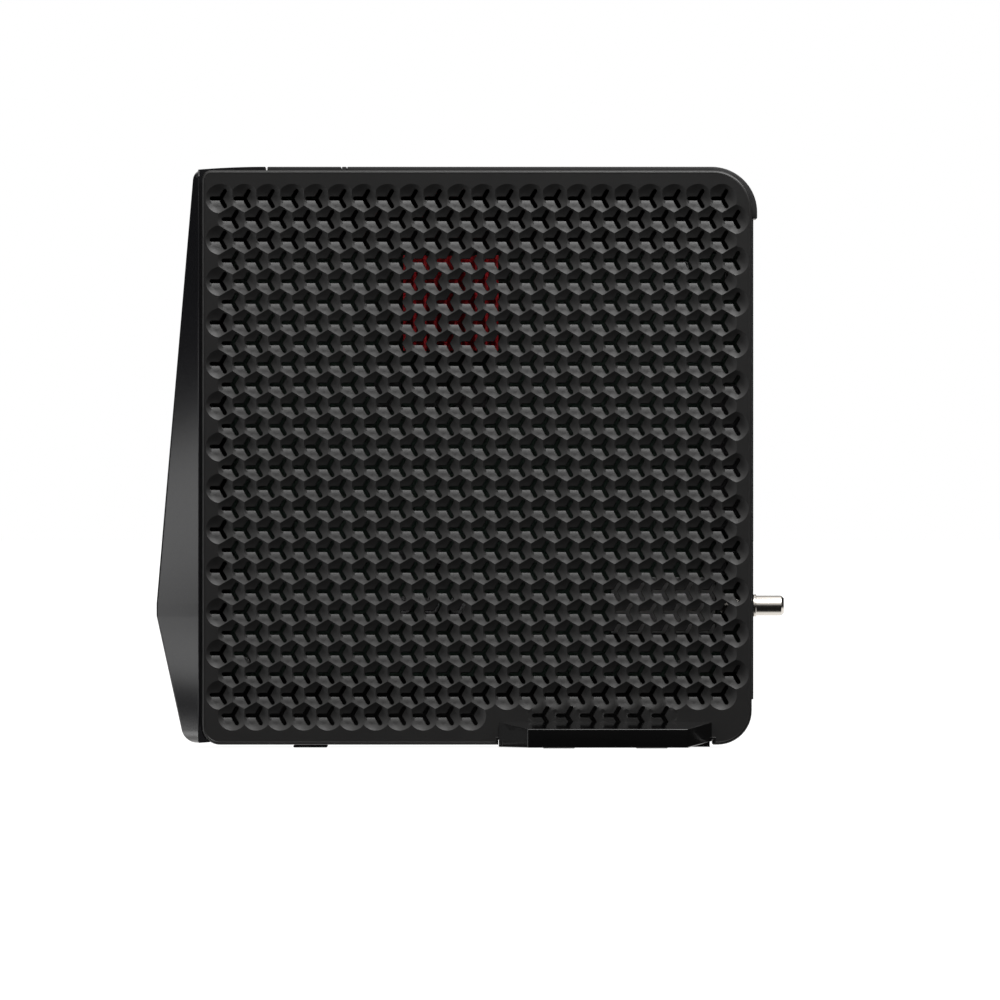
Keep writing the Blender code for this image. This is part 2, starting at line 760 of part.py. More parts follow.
def top_key():
    """The long key in the band, with a stem below it that presses the switch."""
    low = BAND_TOP - KEY_THICK
    cap = box("top_key", (KEY_FRONT, -HALF_BAND, low), (KEY_REAR, HALF_BAND, BAND_TOP))
    middle = (KEY_FRONT + KEY_REAR) / 2
    half = KEY_STEM / 2
    foot = key_floor() - GUIDE_THICK - KEY_TRAVEL
    stem = box("key_stem", (middle - half, -half, foot), (middle + half, half, low + MM))
    join(cap, stem)
    return finish_part(cap, BAND_PLASTIC)


def key_guide():
    """The tray under the key, with a bar that fills the groove behind it."""
    top = key_floor()
    tray = box("key_guide", (KEY_FRONT, -HALF_BAND, top - GUIDE_THICK), (SPINE_FRONT - GAP, HALF_BAND, top))
    bar = box("guide_bar", (KEY_REAR + GAP, -HALF_BAND, top - MM), (SPINE_FRONT - GAP, HALF_BAND, BAND_TOP))
    middle = (KEY_FRONT + KEY_REAR) / 2
    half = KEY_STEM / 2 + GAP
    hole = box("guide_hole", (middle - half, -half, top - GUIDE_THICK - MM), (middle + half, half, top + MM))
    join(tray, bar)
    cut(tray, hole)
    return finish_part(tray, JACK_PLASTIC)


def key_switch_parts():
    """The switch under the key's stem and the small board that carries it."""
    middle = (KEY_FRONT + KEY_REAR) / 2
    half = SWITCH_SIZE / 2
    top = key_floor() - GUIDE_THICK - 2 * KEY_TRAVEL - GAP
    switch = box("key_switch", (middle - half, -half, top - SWITCH_TALL), (middle + half, half, top))
    finish_part(switch, CHIP_EPOXY)
    board_top = top - SWITCH_TALL - GAP
    low = (middle - 2 * SWITCH_SIZE, -SWITCH_SIZE, board_top - BOARD_THICK)
    board = box("key_board", low, (middle + 2 * SWITCH_SIZE, SWITCH_SIZE, board_top))
    finish_part(board, BOARD_LAMINATE)


def rear_panel():
    panel = box("rear_panel", (PANEL_BACK, -HALF_BAND, PANEL_LOW), (PANEL_FACE, HALF_BAND, PANEL_TOP))
    before = PANEL_BACK - MM
    after = PANEL_FACE + MM

    def window(name, low, high):
        return box(name, (before, low[0] - GAP, low[1] - GAP), (after, high[0] + GAP, high[1] + GAP))

    def drill(name, height, radius, across=0.0):
        return rod(name, (before, across, height), (after, across, height), radius, "X")

    side = BOARD_FACE - GAP
    half_dc = DC_TALL / 2
    half_key = POWER_KEY_TALL / 2
    row = ETHERNET_PORTS * ETHERNET_PITCH
    cut(
        panel,
        window("ethernet_window", (side - ETHERNET_WIDTH, ETHERNET_HEIGHT), (side, ETHERNET_HEIGHT + row)),
        window("dc_window", (side - DC_WIDTH, DC_HEIGHT - half_dc), (side, DC_HEIGHT + half_dc)),
        window(
            "key_window",
            (-POWER_KEY_WIDTH / 2, POWER_KEY_HEIGHT - half_key),
            (POWER_KEY_WIDTH / 2, POWER_KEY_HEIGHT + half_key),
        ),
        drill("coax_hole", COAX_HEIGHT, COAX_RADIUS + GAP),
        drill("reset_hole", RESET_HEIGHT, RESET_RADIUS + GAP),
    )
    for index, height in enumerate(panel_screw_heights()):
        seat = PANEL_FACE - SCREW_HEAD_THICK - GAP
        sink = rod(
            f"head_recess_{index}", (seat, 0, height), (after, 0, height), SCREW_HEAD_RADIUS + GAP, "X", 20
        )
        cut(panel, drill(f"panel_screw_hole_{index}", height, SCREW_RADIUS + GAP), sink)
    return finish_part(panel, BAND_PLASTIC)


# ---- sockets and keys at the rear ----

def coax_connector():
    """The threaded barrel, its nut against the panel, the insulator in its mouth and the contact inside."""
    start = PANEL_BACK - COAX_INNER_LENGTH
    centre = (0, COAX_HEIGHT)
    barrel = rod("coax_barrel", (start, *centre), (COAX_TIP, *centre), COAX_RADIUS, "X", 32)
    bevel(barrel, COAX_EDGE, 1)
    bore = rod("coax_bore", (start + COAX_BACK_WALL, *centre), (COAX_TIP + MM, *centre), COAX_BORE, "X")
    finish_part(cut(barrel, bore), NICKEL)
    nut_from = PANEL_FACE + GAP
    nut_to = nut_from + COAX_NUT_THICK
    corner = COAX_NUT_ACROSS / 2 / math.cos(math.radians(30))
    nut = rod("coax_nut", (nut_from, *centre), (nut_to, *centre), corner, "X", 6)
    fit = COAX_RADIUS + GAP / 3
    hole = rod("coax_nut_hole", (nut_from - MM, *centre), (nut_to + MM, *centre), fit, "X", 32)
    finish_part(cut(nut, hole), NICKEL)
    inner = start + COAX_BACK_WALL + GAP
    mouth = COAX_TIP - COAX_MOUTH
    insulator = rod("coax_insulator", (inner, *centre), (mouth, *centre), COAX_BORE - GAP / 3, "X")
    floor = inner + COAX_FLOOR
    width = COAX_PIN_RADIUS + GAP
    passage = rod("coax_passage", (floor, *centre), (mouth + MM, *centre), width, "X", 12)
    finish_part(cut(insulator, passage), INSULATOR)
    pin = rod("coax_contact", (floor + GAP, *centre), (mouth - MM, *centre), COAX_PIN_RADIUS, "X", 12)
    finish_part(pin, GOLD)


def ethernet_jack():
    """A row of sockets in one housing, and the comb of contacts in each socket."""
    side = BOARD_FACE - GAP
    row = ETHERNET_PORTS * ETHERNET_PITCH
    back = SOCKET_FACE - ETHERNET_DEPTH
    housing = box(
        "ethernet_jack",
        (back, side - ETHERNET_WIDTH, ETHERNET_HEIGHT),
        (SOCKET_FACE, side, ETHERNET_HEIGHT + row),
    )
    middle = side - ETHERNET_WIDTH / 2
    floor = SOCKET_FACE - SOCKET_DEPTH
    for port in range(ETHERNET_PORTS):
        height = ETHERNET_HEIGHT + (port + 0.5) * ETHERNET_PITCH
        low = middle - SOCKET_WIDTH / 2
        mouth = [
            Vector((low, height - SOCKET_TALL / 2)),
            Vector((low + SOCKET_WIDTH, height - SOCKET_TALL / 2)),
            Vector((low + SOCKET_WIDTH, height + SOCKET_TALL / 2)),
            Vector((low, height + SOCKET_TALL / 2)),
            Vector((low, height + LATCH_TALL / 2)),
            Vector((low - LATCH_WIDTH, height + LATCH_TALL / 2)),
            Vector((low - LATCH_WIDTH, height - LATCH_TALL / 2)),
            Vector((low, height - LATCH_TALL / 2)),
        ]
        cut(housing, plate(f"socket_{port + 1}", [mouth], floor, SOCKET_FACE + MM, "X"))
        comb_high = low + SOCKET_WIDTH - GAP
        comb = box(
            f"ethernet_contacts_{port + 1}",
            (floor + GAP, comb_high - COMB_THICK, height - COMB_SPREAD / 2),
            (floor + COMB_DEPTH, comb_high, height + COMB_SPREAD / 2),
        )
        finish_part(comb, GOLD)
    return finish_part(housing, JACK_PLASTIC)


def dc_socket():
    """The power inlet: a housing with a round bore and the pin in it."""
    side = BOARD_FACE - GAP
    back = SOCKET_FACE - DC_DEPTH
    middle = side - DC_WIDTH / 2
    half = DC_TALL / 2
    housing = box("dc_jack", (back, side - DC_WIDTH, DC_HEIGHT - half), (SOCKET_FACE, side, DC_HEIGHT + half))
    floor = SOCKET_FACE - DC_BORE_DEPTH
    bore = rod("dc_bore", (floor, middle, DC_HEIGHT), (SOCKET_FACE + MM, middle, DC_HEIGHT), DC_BORE, "X")
    finish_part(cut(housing, bore), JACK_PLASTIC)
    tip = (SOCKET_FACE - MM, middle, DC_HEIGHT)
    pin = rod("dc_pin", (floor + GAP, middle, DC_HEIGHT), tip, DC_PIN_RADIUS, "X", 12)
    finish_part(pin, NICKEL)


def power_key_parts():
    """The power key, flush with the panel at rest, and the switch behind it."""
    half_wide = POWER_KEY_WIDTH / 2
    half_tall = POWER_KEY_TALL / 2
    low = (SOCKET_FACE - POWER_KEY_LENGTH, -half_wide, POWER_KEY_HEIGHT - half_tall)
    key = box("power_key", low, (SOCKET_FACE, half_wide, POWER_KEY_HEIGHT + half_tall))
    bevel(key, POWER_KEY_EDGE)
    finish_part(key, JACK_PLASTIC)
    face = SOCKET_FACE - POWER_KEY_LENGTH - POWER_KEY_TRAVEL - GAP
    side = BOARD_FACE - GAP
    switch = box(
        "power_switch",
        (face - POWER_SWITCH_DEPTH, side - REAR_SWITCH_WIDTH, POWER_KEY_HEIGHT - half_tall + MM),
        (face, side, POWER_KEY_HEIGHT + half_tall - MM),
    )
    finish_part(switch, CHIP_EPOXY)


def reset_key_parts():
    """The recessed reset pin and the switch behind it."""
    tip = PANEL_FACE - RESET_RECESS
    start = tip - RESET_LENGTH
    key = rod("reset_key", (start, 0, RESET_HEIGHT), (tip, 0, RESET_HEIGHT), RESET_RADIUS, "X", 16)
    finish_part(key, JACK_PLASTIC)
    face = start - RESET_TRAVEL - GAP
    side = BOARD_FACE - GAP
    half = SWITCH_SIZE / 2
    switch = box(
        "reset_switch",
        (face - SWITCH_TALL, side - REAR_SWITCH_WIDTH, RESET_HEIGHT - half),
        (face, side, RESET_HEIGHT + half),
    )
    finish_part(switch, CHIP_EPOXY)


# ---- board ----

def main_board():
    board = box("main_board", (BOARD_FRONT, BOARD_FACE, BOARD_LIFT), (BOARD_REAR, BOARD_BACK, BOARD_TOP))
    for index, (x, z) in enumerate(board_screw_places()):
        start = (x, BOARD_FACE - MM, z)
        end = (x, BOARD_BACK + MM, z)
        hole = rod(f"board_hole_{index}", start, end, SCREW_RADIUS + GAP, "Y", 12)
        cut(board, hole)
    return finish_part(board, BOARD_LAMINATE)


def on_board(name, x, z, length, tall, thick, finish):
    """A flat component centred at (x, z) on the board's left face."""
    seat = BOARD_FACE - GAP
    low = (x - length / 2, seat - thick, z - tall / 2)
    return finish_part(box(name, low, (x + length / 2, seat, z + tall / 2)), finish)


def heat_sink():
    """A base plate with upright fins that reach towards the left cover."""
    seat = BOARD_FACE - 3 * GAP - CHIP_THICK - THERMAL_PAD
    base = seat - SINK_BASE
    tip = -INNER_FACE + SINK_TO_COVER
    step = (SINK_SIZE - SINK_FIN_THICK) / (SINK_FINS - 1)
    outline = [Vector((SINK_FRONT + SINK_SIZE, seat)), Vector((SINK_FRONT, seat))]
    for fin in range(SINK_FINS):
        front = SINK_FRONT + fin * step
        rear = front + SINK_FIN_THICK
        if fin > 0:
            outline.append(Vector((front, base)))
        outline += [Vector((front, tip)), Vector((rear, tip))]
        if fin < SINK_FINS - 1:
            outline.append(Vector((rear, base)))
    sink = plate("heat_sink", [outline], SINK_LOW, SINK_LOW + SINK_SIZE, "Z")
    return finish_part(sink, RED_ANODISED)


def chip_stack():
    on_board("main_chip", SINK_MID_X, SINK_MID_Z, CHIP_SIZE, CHIP_SIZE, CHIP_THICK, CHIP_EPOXY)
    front = BOARD_FACE - 2 * GAP - CHIP_THICK
    half = CHIP_SIZE / 2 - MM
    pad = box(
        "thermal_pad",
        (SINK_MID_X - half, front - THERMAL_PAD, SINK_MID_Z - half),
        (SINK_MID_X + half, front, SINK_MID_Z + half),
    )
    finish_part(pad, PAD_SILICONE)


def board_components():
    """Memory, flash, tuner shield, capacitors and inductors."""
    below = SINK_LOW - 2 * MEMORY_TALL
    for index in range(2):
        x = SINK_MID_X + (index - 0.5) * (MEMORY_LENGTH + MEMORY_SPACE)
        name = f"memory_chip_{index + 1}"
        on_board(name, x, below, MEMORY_LENGTH, MEMORY_TALL, MEMORY_THICK, CHIP_EPOXY)
    flash_x = SINK_MID_X - 2 * MEMORY_LENGTH
    on_board("flash_chip", flash_x, below, FLASH_SIZE, FLASH_SIZE, MEMORY_THICK, CHIP_EPOXY)
    shield_x = PANEL_BACK - COAX_INNER_LENGTH - SHIELD_FROM_COAX - SHIELD_LENGTH / 2
    on_board("tuner_shield", shield_x, COAX_HEIGHT, SHIELD_LENGTH, SHIELD_TALL, SHIELD_THICK, STEEL)
    seat = BOARD_FACE - GAP
    for index in range(3):
        x = SINK_FRONT + index * 3 * CAPACITOR_RADIUS
        foot = (x, seat, COAX_HEIGHT)
        tip = (x, seat - CAPACITOR_TALL, COAX_HEIGHT)
        can = rod(f"capacitor_{index + 1}", tip, foot, CAPACITOR_RADIUS, "Y", 20)
        bevel(can, CAPACITOR_EDGE)
        finish_part(can, CAN_ALUMINIUM)
    for index in range(2):
        x = SINK_FRONT + index * 2 * INDUCTOR_SIZE
        z = COAX_HEIGHT + 3 * INDUCTOR_SIZE
        name = f"inductor_{index + 1}"
        part = on_board(name, x, z, INDUCTOR_SIZE, INDUCTOR_SIZE, INDUCTOR_TALL, CHIP_EPOXY)
        bevel(part, MM)


# ---- screws ----

def screw(name, seat, axis, sign, length):
    """A pan-head screw whose head rests on seat and whose shank runs along sign times the axis."""
    way = axis_vector(axis) * sign
    seat = Vector(seat)
    along = axis_vector(axis)
    ends = sorted((seat - way * SCREW_HEAD_THICK, seat), key=along.dot)
    head = rod(name, *ends, SCREW_HEAD_RADIUS, axis, 16)
    bevel(head, SCREW_HEAD_EDGE)
    ends = sorted((seat - way * SCREW_HEAD_THICK / 2, seat + way * length), key=along.dot)
    shank = rod(name + "_shank", *ends, SCREW_RADIUS, axis, 12)
    join(head, shank)
    return finish_part(head, STEEL)


def all_screws():
    for index, (x, z) in enumerate(board_screw_places()):
        screw(f"board_screw_{index + 1}", (x, BOARD_FACE - GAP, z), "Y", 1, SCREW_LENGTH)
    for index, height in enumerate(panel_screw_heights()):
        seat = PANEL_FACE - SCREW_HEAD_THICK
        screw(f"panel_screw_{index + 1}", (seat, 0, height), "X", -1, SCREW_LENGTH - MM)
    for index, (x, y) in enumerate(stand_screw_places()):
        seat = STAND_LIFT + SCREW_HEAD_THICK + GAP
        screw(f"stand_screw_{index + 1}", (x, y, seat), "Z", 1, STAND_SCREW_LENGTH)


# ---- stand and feet ----

def stand_wing(name, side):
    """One side of the stand: its plan narrows and its top falls away from the case."""
    inner = HALF_BODY + GAP
    outer = STAND_WIDTH / 2
    shape = bmesh.new()
    bmesh.ops.create_cube(shape, size=2.0)
    for vertex in shape.verts:
        away = vertex.co.y * side > 0
        upper = vertex.co.z > 0
        if vertex.co.x < 0:
            x = STAND_FRONT + (STAND_TAPER_FRONT if away else 0)
        else:
            x = STAND_REAR - (STAND_TAPER_REAR if away else 0)
        tall = STAND_OUTER_TALL if away else STAND_INNER_TALL
        vertex.co = (x, side * (outer if away else inner), STAND_LIFT + (tall if upper else 0))
    return mesh_object(name, shape, (0, 0, 0))


def pad_places():
    x_inset = STAND_TAPER_FRONT + PAD_LENGTH
    y = (HALF_BODY + STAND_WIDTH / 2) / 2
    return [
        (x, side * y)
        for side in (-1, 1)
        for x in (STAND_FRONT + x_inset, STAND_REAR - x_inset)
    ]


def stand():
    """Two wings joined by a bridge that passes under the case."""
    wing = stand_wing("stand", -1)
    bevel(wing, STAND_EDGE, 2)
    other = stand_wing("right_wing", 1)
    bevel(other, STAND_EDGE, 2)
    reach = HALF_BODY + BRIDGE_OVERLAP
    inset = MM
    low = (STAND_FRONT + inset, -reach, STAND_LIFT + STAND_EDGE / 4)
    bridge = box("stand_bridge", low, (STAND_REAR - inset, reach, BRIDGE_TOP))
    join(wing, other, bridge)
    for index, (x, y) in enumerate(stand_screw_places()):
        top = STAND_LIFT + SCREW_HEAD_THICK + 2 * GAP
        recess = rod(f"stand_recess_{index}", (x, y, 0), (x, y, top), SCREW_HEAD_RADIUS + GAP, "Z", 20)
        hole = rod(f"stand_hole_{index}", (x, y, 0), (x, y, BRIDGE_TOP + MM), SCREW_RADIUS + GAP, "Z", 16)
        cut(wing, recess, hole)
    for index, (x, y) in enumerate(pad_places()):
        half = PAD_LENGTH / 2 + GAP
        wide = PAD_WIDTH / 2 + GAP
        top = STAND_LIFT + PAD_SUNK + GAP
        cut(wing, box(f"pad_pocket_{index}", (x - half, y - wide, -MM), (x + half, y + wide, top)))
    return finish_part(wing, STAND_PLASTIC)


def pads_and_foot():
    for index, (x, y) in enumerate(pad_places()):
        low = (x - PAD_LENGTH / 2, y - PAD_WIDTH / 2, 0)
        high = (x + PAD_LENGTH / 2, y + PAD_WIDTH / 2, STAND_LIFT + PAD_SUNK)
        finish_part(box(f"stand_pad_{index + 1}", low, high), SOFT_RUBBER)
    front = COVER_FRONT + FOOT_FROM_FRONT
    foot = box(
        "front_foot",
        (front, -FOOT_WIDTH / 2, 0),
        (front + FOOT_LENGTH, FOOT_WIDTH / 2, COVER_LIFT - GAP),
    )
    finish_part(foot, SOFT_RUBBER)


def build():
    side_cover("left_side_cover", -1)
    add_bosses(side_cover("right_side_cover", 1))
    front_cover()
    lens()
    light_pipe()
    light_board()
    spine()
    top_key()
    key_guide()
    key_switch_parts()
    rear_panel()
    coax_connector()
    ethernet_jack()
    dc_socket()
    power_key_parts()
    reset_key_parts()
    main_board()
    heat_sink()
    chip_stack()
    board_components()
    all_screws()
    stand()
    pads_and_foot()


build()
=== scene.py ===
"""Looks of the cable modem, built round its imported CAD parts.

Metres, +Z up. -X is the front, +X the rear and -Y the left side, as in the CAD.
"""

import math

import bmesh
import bpy
import numpy as np
from mathutils import Matrix, Vector
from mathutils.geometry import delaunay_2d_cdt


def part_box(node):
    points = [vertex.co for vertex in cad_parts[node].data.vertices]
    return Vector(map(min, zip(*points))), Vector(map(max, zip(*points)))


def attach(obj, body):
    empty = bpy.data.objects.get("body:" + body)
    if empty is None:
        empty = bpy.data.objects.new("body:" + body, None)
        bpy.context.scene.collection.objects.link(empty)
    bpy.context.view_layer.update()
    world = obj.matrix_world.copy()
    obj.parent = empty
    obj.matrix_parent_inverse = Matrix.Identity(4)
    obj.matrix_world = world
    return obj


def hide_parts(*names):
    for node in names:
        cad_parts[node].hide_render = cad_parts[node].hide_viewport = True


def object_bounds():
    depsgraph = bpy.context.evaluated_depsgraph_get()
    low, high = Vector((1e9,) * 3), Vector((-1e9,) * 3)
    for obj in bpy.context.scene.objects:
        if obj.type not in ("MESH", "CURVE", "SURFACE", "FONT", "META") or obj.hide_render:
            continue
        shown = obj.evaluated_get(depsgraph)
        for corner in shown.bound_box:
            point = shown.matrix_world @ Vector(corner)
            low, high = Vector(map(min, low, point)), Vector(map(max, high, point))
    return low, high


MM = 0.001

# How near two points are to be made one, two levels to be the same, and points of a flat sheet to be one
WELD = 0.001 * MM
CLOSE = 0.01 * MM
EXACT = 0.0001 * MM

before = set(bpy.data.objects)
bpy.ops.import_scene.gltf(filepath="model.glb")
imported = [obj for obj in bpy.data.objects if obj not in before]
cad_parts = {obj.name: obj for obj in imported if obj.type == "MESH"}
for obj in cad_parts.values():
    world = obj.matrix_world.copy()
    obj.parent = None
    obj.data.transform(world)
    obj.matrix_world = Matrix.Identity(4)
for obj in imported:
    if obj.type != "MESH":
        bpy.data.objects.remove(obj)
CAD_LOW, CAD_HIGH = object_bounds()
SLOTS = {name: node.data.materials[0].name.split(".")[0] for name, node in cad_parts.items()}


# ---- camera, light and stage ----

CAMERA_DISTANCE = 8.0
VIEW_WIDTH = 440 * MM
CAMERA_ACROSS = 13.0 * MM
CAMERA_HEIGHT = 109.1 * MM
SENSOR = 36.0

KEY_SIZE = (0.8, 0.45)
KEY_PLACE = (0.34, -0.36, 0.8)
KEY_TARGET = (0, 0, 150 * MM)
KEY_POWER = 8.0
NOSE_LIGHT_SIZE = (0.5, 1.8)
NOSE_LIGHT_PLACE = (-1.15, -0.62, -0.35)
NOSE_LIGHT_POWER = 7.5
EDGE_LIGHT_SIZE = (0.3, 0.7)
EDGE_LIGHT_PLACE = (-1.28, 0.2, -0.4)
EDGE_LIGHT_POWER = 2.4

# The studio's light by direction. Each pair is where part of a direction starts to count and counts fully.
FRONT_RISE = (-0.05, 0.75)
FRONT_TURN = (0.0, -0.5)
FRONT_LEVEL = 1.65
TOP_RISE = (0.6, 0.95)
TOP_LEVEL = 1.4
BACK_TURN = (0.9, 0.97)
BACK_LEVEL = 1.0
UNDER_RISE = (-0.1, -0.4)
UNDER_TURN = (-0.4, 0.1)
UNDER_LEVEL = 1.2
ROOM_LEVEL = 0.012
ROOM_COLOUR = (1.0, 0.985, 0.97, 1)
FLOOR_HALF = 40.0
FLOOR_DROP = 0.05 * MM
FLOOR_GREY = (0.25, 0.25, 0.25, 1)
FLOOR_GLOW = 0.93


def aim(item, place, target):
    """Puts a camera or light somewhere and turns it to a target."""
    item.location = place
    item.rotation_euler = (Vector(target) - Vector(place)).to_track_quat("-Z", "Y").to_euler()


def make_camera():
    """A camera far out on the left side, level and square to it, as the photograph is taken."""
    data = bpy.data.cameras.new("camera")
    data.sensor_width = SENSOR
    data.lens = SENSOR * CAMERA_DISTANCE / VIEW_WIDTH
    data.clip_start = 0.1
    data.clip_end = 100.0
    camera = bpy.data.objects.new("camera", data)
    bpy.context.scene.collection.objects.link(camera)
    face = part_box("left_side_cover")[0].y
    place = Vector((CAMERA_ACROSS, face - CAMERA_DISTANCE, CAMERA_HEIGHT))
    aim(camera, place, place + Vector((0, 1, 0)))
    bpy.context.scene.camera = camera


def area_light(name, place, size, power, target=(CAD_LOW + CAD_HIGH) / 2):
    """A soft rectangular light that faces a target, which is the object's middle if none is given."""
    data = bpy.data.lights.new(name, "AREA")
    data.shape = "RECTANGLE"
    data.size, data.size_y = size
    data.energy = power
    light = bpy.data.objects.new(name, data)
    bpy.context.scene.collection.objects.link(light)
    aim(light, place, target)


def make_world():
    """White behind the object. For light and reflections it is a studio.

    The studio is bright in front of the object and above it, straight above, straight behind,
    and low behind it. Elsewhere it is dark.
    """
    world = bpy.data.worlds.new("studio")
    bpy.context.scene.world = world
    world.use_nodes = True
    tree = world.node_tree
    tree.nodes.clear()
    add = tree.nodes.new
    link = tree.links.new
    where = add("ShaderNodeTexCoord")
    parts = add("ShaderNodeSeparateXYZ")
    link(where.outputs["Generated"], parts.inputs[0])

    def ramp(axis, start, end, level):
        """Rises from 0 to a level while a part of the direction goes from start to end."""
        node = add("ShaderNodeMapRange")
        node.interpolation_type = "SMOOTHSTEP"
        node.inputs["From Min"].default_value = start
        node.inputs["From Max"].default_value = end
        node.inputs["To Max"].default_value = level
        link(parts.outputs[axis], node.inputs["Value"])
        return node.outputs["Result"]

    def combine(operation, first, second):
        node = add("ShaderNodeMath")
        node.operation = operation
        link(first, node.inputs[0])
        if isinstance(second, float):
            node.inputs[1].default_value = second
        else:
            link(second, node.inputs[1])
        return node.outputs[0]

    front = combine("MULTIPLY", ramp("Z", *FRONT_RISE, 1.0), ramp("Y", *FRONT_TURN, FRONT_LEVEL))
    above = ramp("Z", *TOP_RISE, TOP_LEVEL)
    behind = ramp("Y", *BACK_TURN, BACK_LEVEL)
    below = combine("MULTIPLY", ramp("Z", *UNDER_RISE, 1.0), ramp("Y", *UNDER_TURN, UNDER_LEVEL))
    level = combine("MAXIMUM", combine("MAXIMUM", front, above), combine("MAXIMUM", behind, below))
    room = add("ShaderNodeBackground")
    room.inputs["Color"].default_value = ROOM_COLOUR
    link(combine("ADD", level, ROOM_LEVEL), room.inputs["Strength"])
    white = add("ShaderNodeBackground")
    white.inputs["Color"].default_value = (1, 1, 1, 1)
    path = add("ShaderNodeLightPath")
    mix = add("ShaderNodeMixShader")
    link(path.outputs["Is Camera Ray"], mix.inputs["Fac"])
    link(room.outputs[0], mix.inputs[1])
    link(white.outputs[0], mix.inputs[2])
    out = add("ShaderNodeOutputWorld")
    link(mix.outputs[0], out.inputs["Surface"])


def make_floor():
    """A plain pale floor. It takes the object's shadow and throws no light back up at it."""
    shape = bmesh.new()
    bmesh.ops.create_grid(shape, x_segments=1, y_segments=1, size=FLOOR_HALF)
    floor = mesh_piece("floor", shape)
    floor.location.z = -FLOOR_DROP
    finish = bpy.data.materials.new("pale_floor")
    finish.use_nodes = True
    shader = finish.node_tree.nodes["Principled BSDF"]
    shader.inputs["Base Color"].default_value = FLOOR_GREY
    shader.inputs["Roughness"].default_value = 0.9
    shader.inputs["Specular IOR Level"].default_value = 0.0
    shader.inputs["Emission Color"].default_value = (1, 1, 1, 1)
    shader.inputs["Emission Strength"].default_value = FLOOR_GLOW
    floor.data.materials.append(finish)
    floor.visible_shadow = False
    floor.visible_diffuse = False
    floor.visible_glossy = False


def make_stage():
    """The studio, the floor, a soft key light, and two lights that shine along the nose."""
    make_world()
    make_floor()
    area_light("key_light", KEY_PLACE, KEY_SIZE, KEY_POWER, KEY_TARGET)
    area_light("nose_light", NOSE_LIGHT_PLACE, NOSE_LIGHT_SIZE, NOSE_LIGHT_POWER)
    area_light("edge_light", EDGE_LIGHT_PLACE, EDGE_LIGHT_SIZE, EDGE_LIGHT_POWER)
    bpy.context.scene.view_settings.view_transform = "Standard"


# ---- materials ----

COAT_ROUGHNESS = 0.12
ROUGH_SPREAD = 0.06
ROUGH_LEAST = 0.02
GRAIN_SIZE = 0.35 * MM
GRAIN_DEPTH = 0.03 * MM
DRIFT_START = 0.3
DRIFT_END = 0.7


def surface(name, colour, rough, metal=0.0, shine=0.5, coat=0.0, mottle=0.12, patches=60.0, grain=0.25):
    """A moulded or worked surface: its colour drifts a little, and fine grain breaks up its shine.

    Mottle is how far the colour drifts, patches how many there are in a metre, and grain how much
    of the full depth of the grain shows.
    """
    finish = bpy.data.materials.new(name)
    finish.use_nodes = True
    tree = finish.node_tree
    add = tree.nodes.new
    link = tree.links.new
    shader = tree.nodes["Principled BSDF"]
    shader.inputs["Metallic"].default_value = metal
    shader.inputs["Specular IOR Level"].default_value = shine
    shader.inputs["Coat Weight"].default_value = coat
    shader.inputs["Coat Roughness"].default_value = COAT_ROUGHNESS
    where = add("ShaderNodeTexCoord")

    def noise(scale, detail):
        node = add("ShaderNodeTexNoise")
        node.inputs["Scale"].default_value = scale
        node.inputs["Detail"].default_value = detail
        link(where.outputs["Object"], node.inputs["Vector"])
        return node

    drift = noise(patches, 4.0)
    ramp = add("ShaderNodeValToRGB")
    darker, lighter = ramp.color_ramp.elements
    darker.position = DRIFT_START
    darker.color = (*[c * (1 - mottle) for c in colour], 1)
    lighter.position = DRIFT_END
    lighter.color = (*[min(1.0, c * (1 + mottle)) for c in colour], 1)
    link(drift.outputs["Fac"], ramp.inputs["Fac"])
    link(ramp.outputs["Color"], shader.inputs["Base Color"])
    pits = noise(1 / GRAIN_SIZE, 2.0)
    spread = add("ShaderNodeMapRange")
    spread.inputs["To Min"].default_value = max(ROUGH_LEAST, rough - ROUGH_SPREAD)
    spread.inputs["To Max"].default_value = min(1.0, rough + ROUGH_SPREAD)
    link(pits.outputs["Fac"], spread.inputs["Value"])
    link(spread.outputs["Result"], shader.inputs["Roughness"])
    bump = add("ShaderNodeBump")
    bump.inputs["Strength"].default_value = grain
    bump.inputs["Distance"].default_value = GRAIN_DEPTH
    link(pits.outputs["Fac"], bump.inputs["Height"])
    link(bump.outputs["Normal"], shader.inputs["Normal"])
    return finish


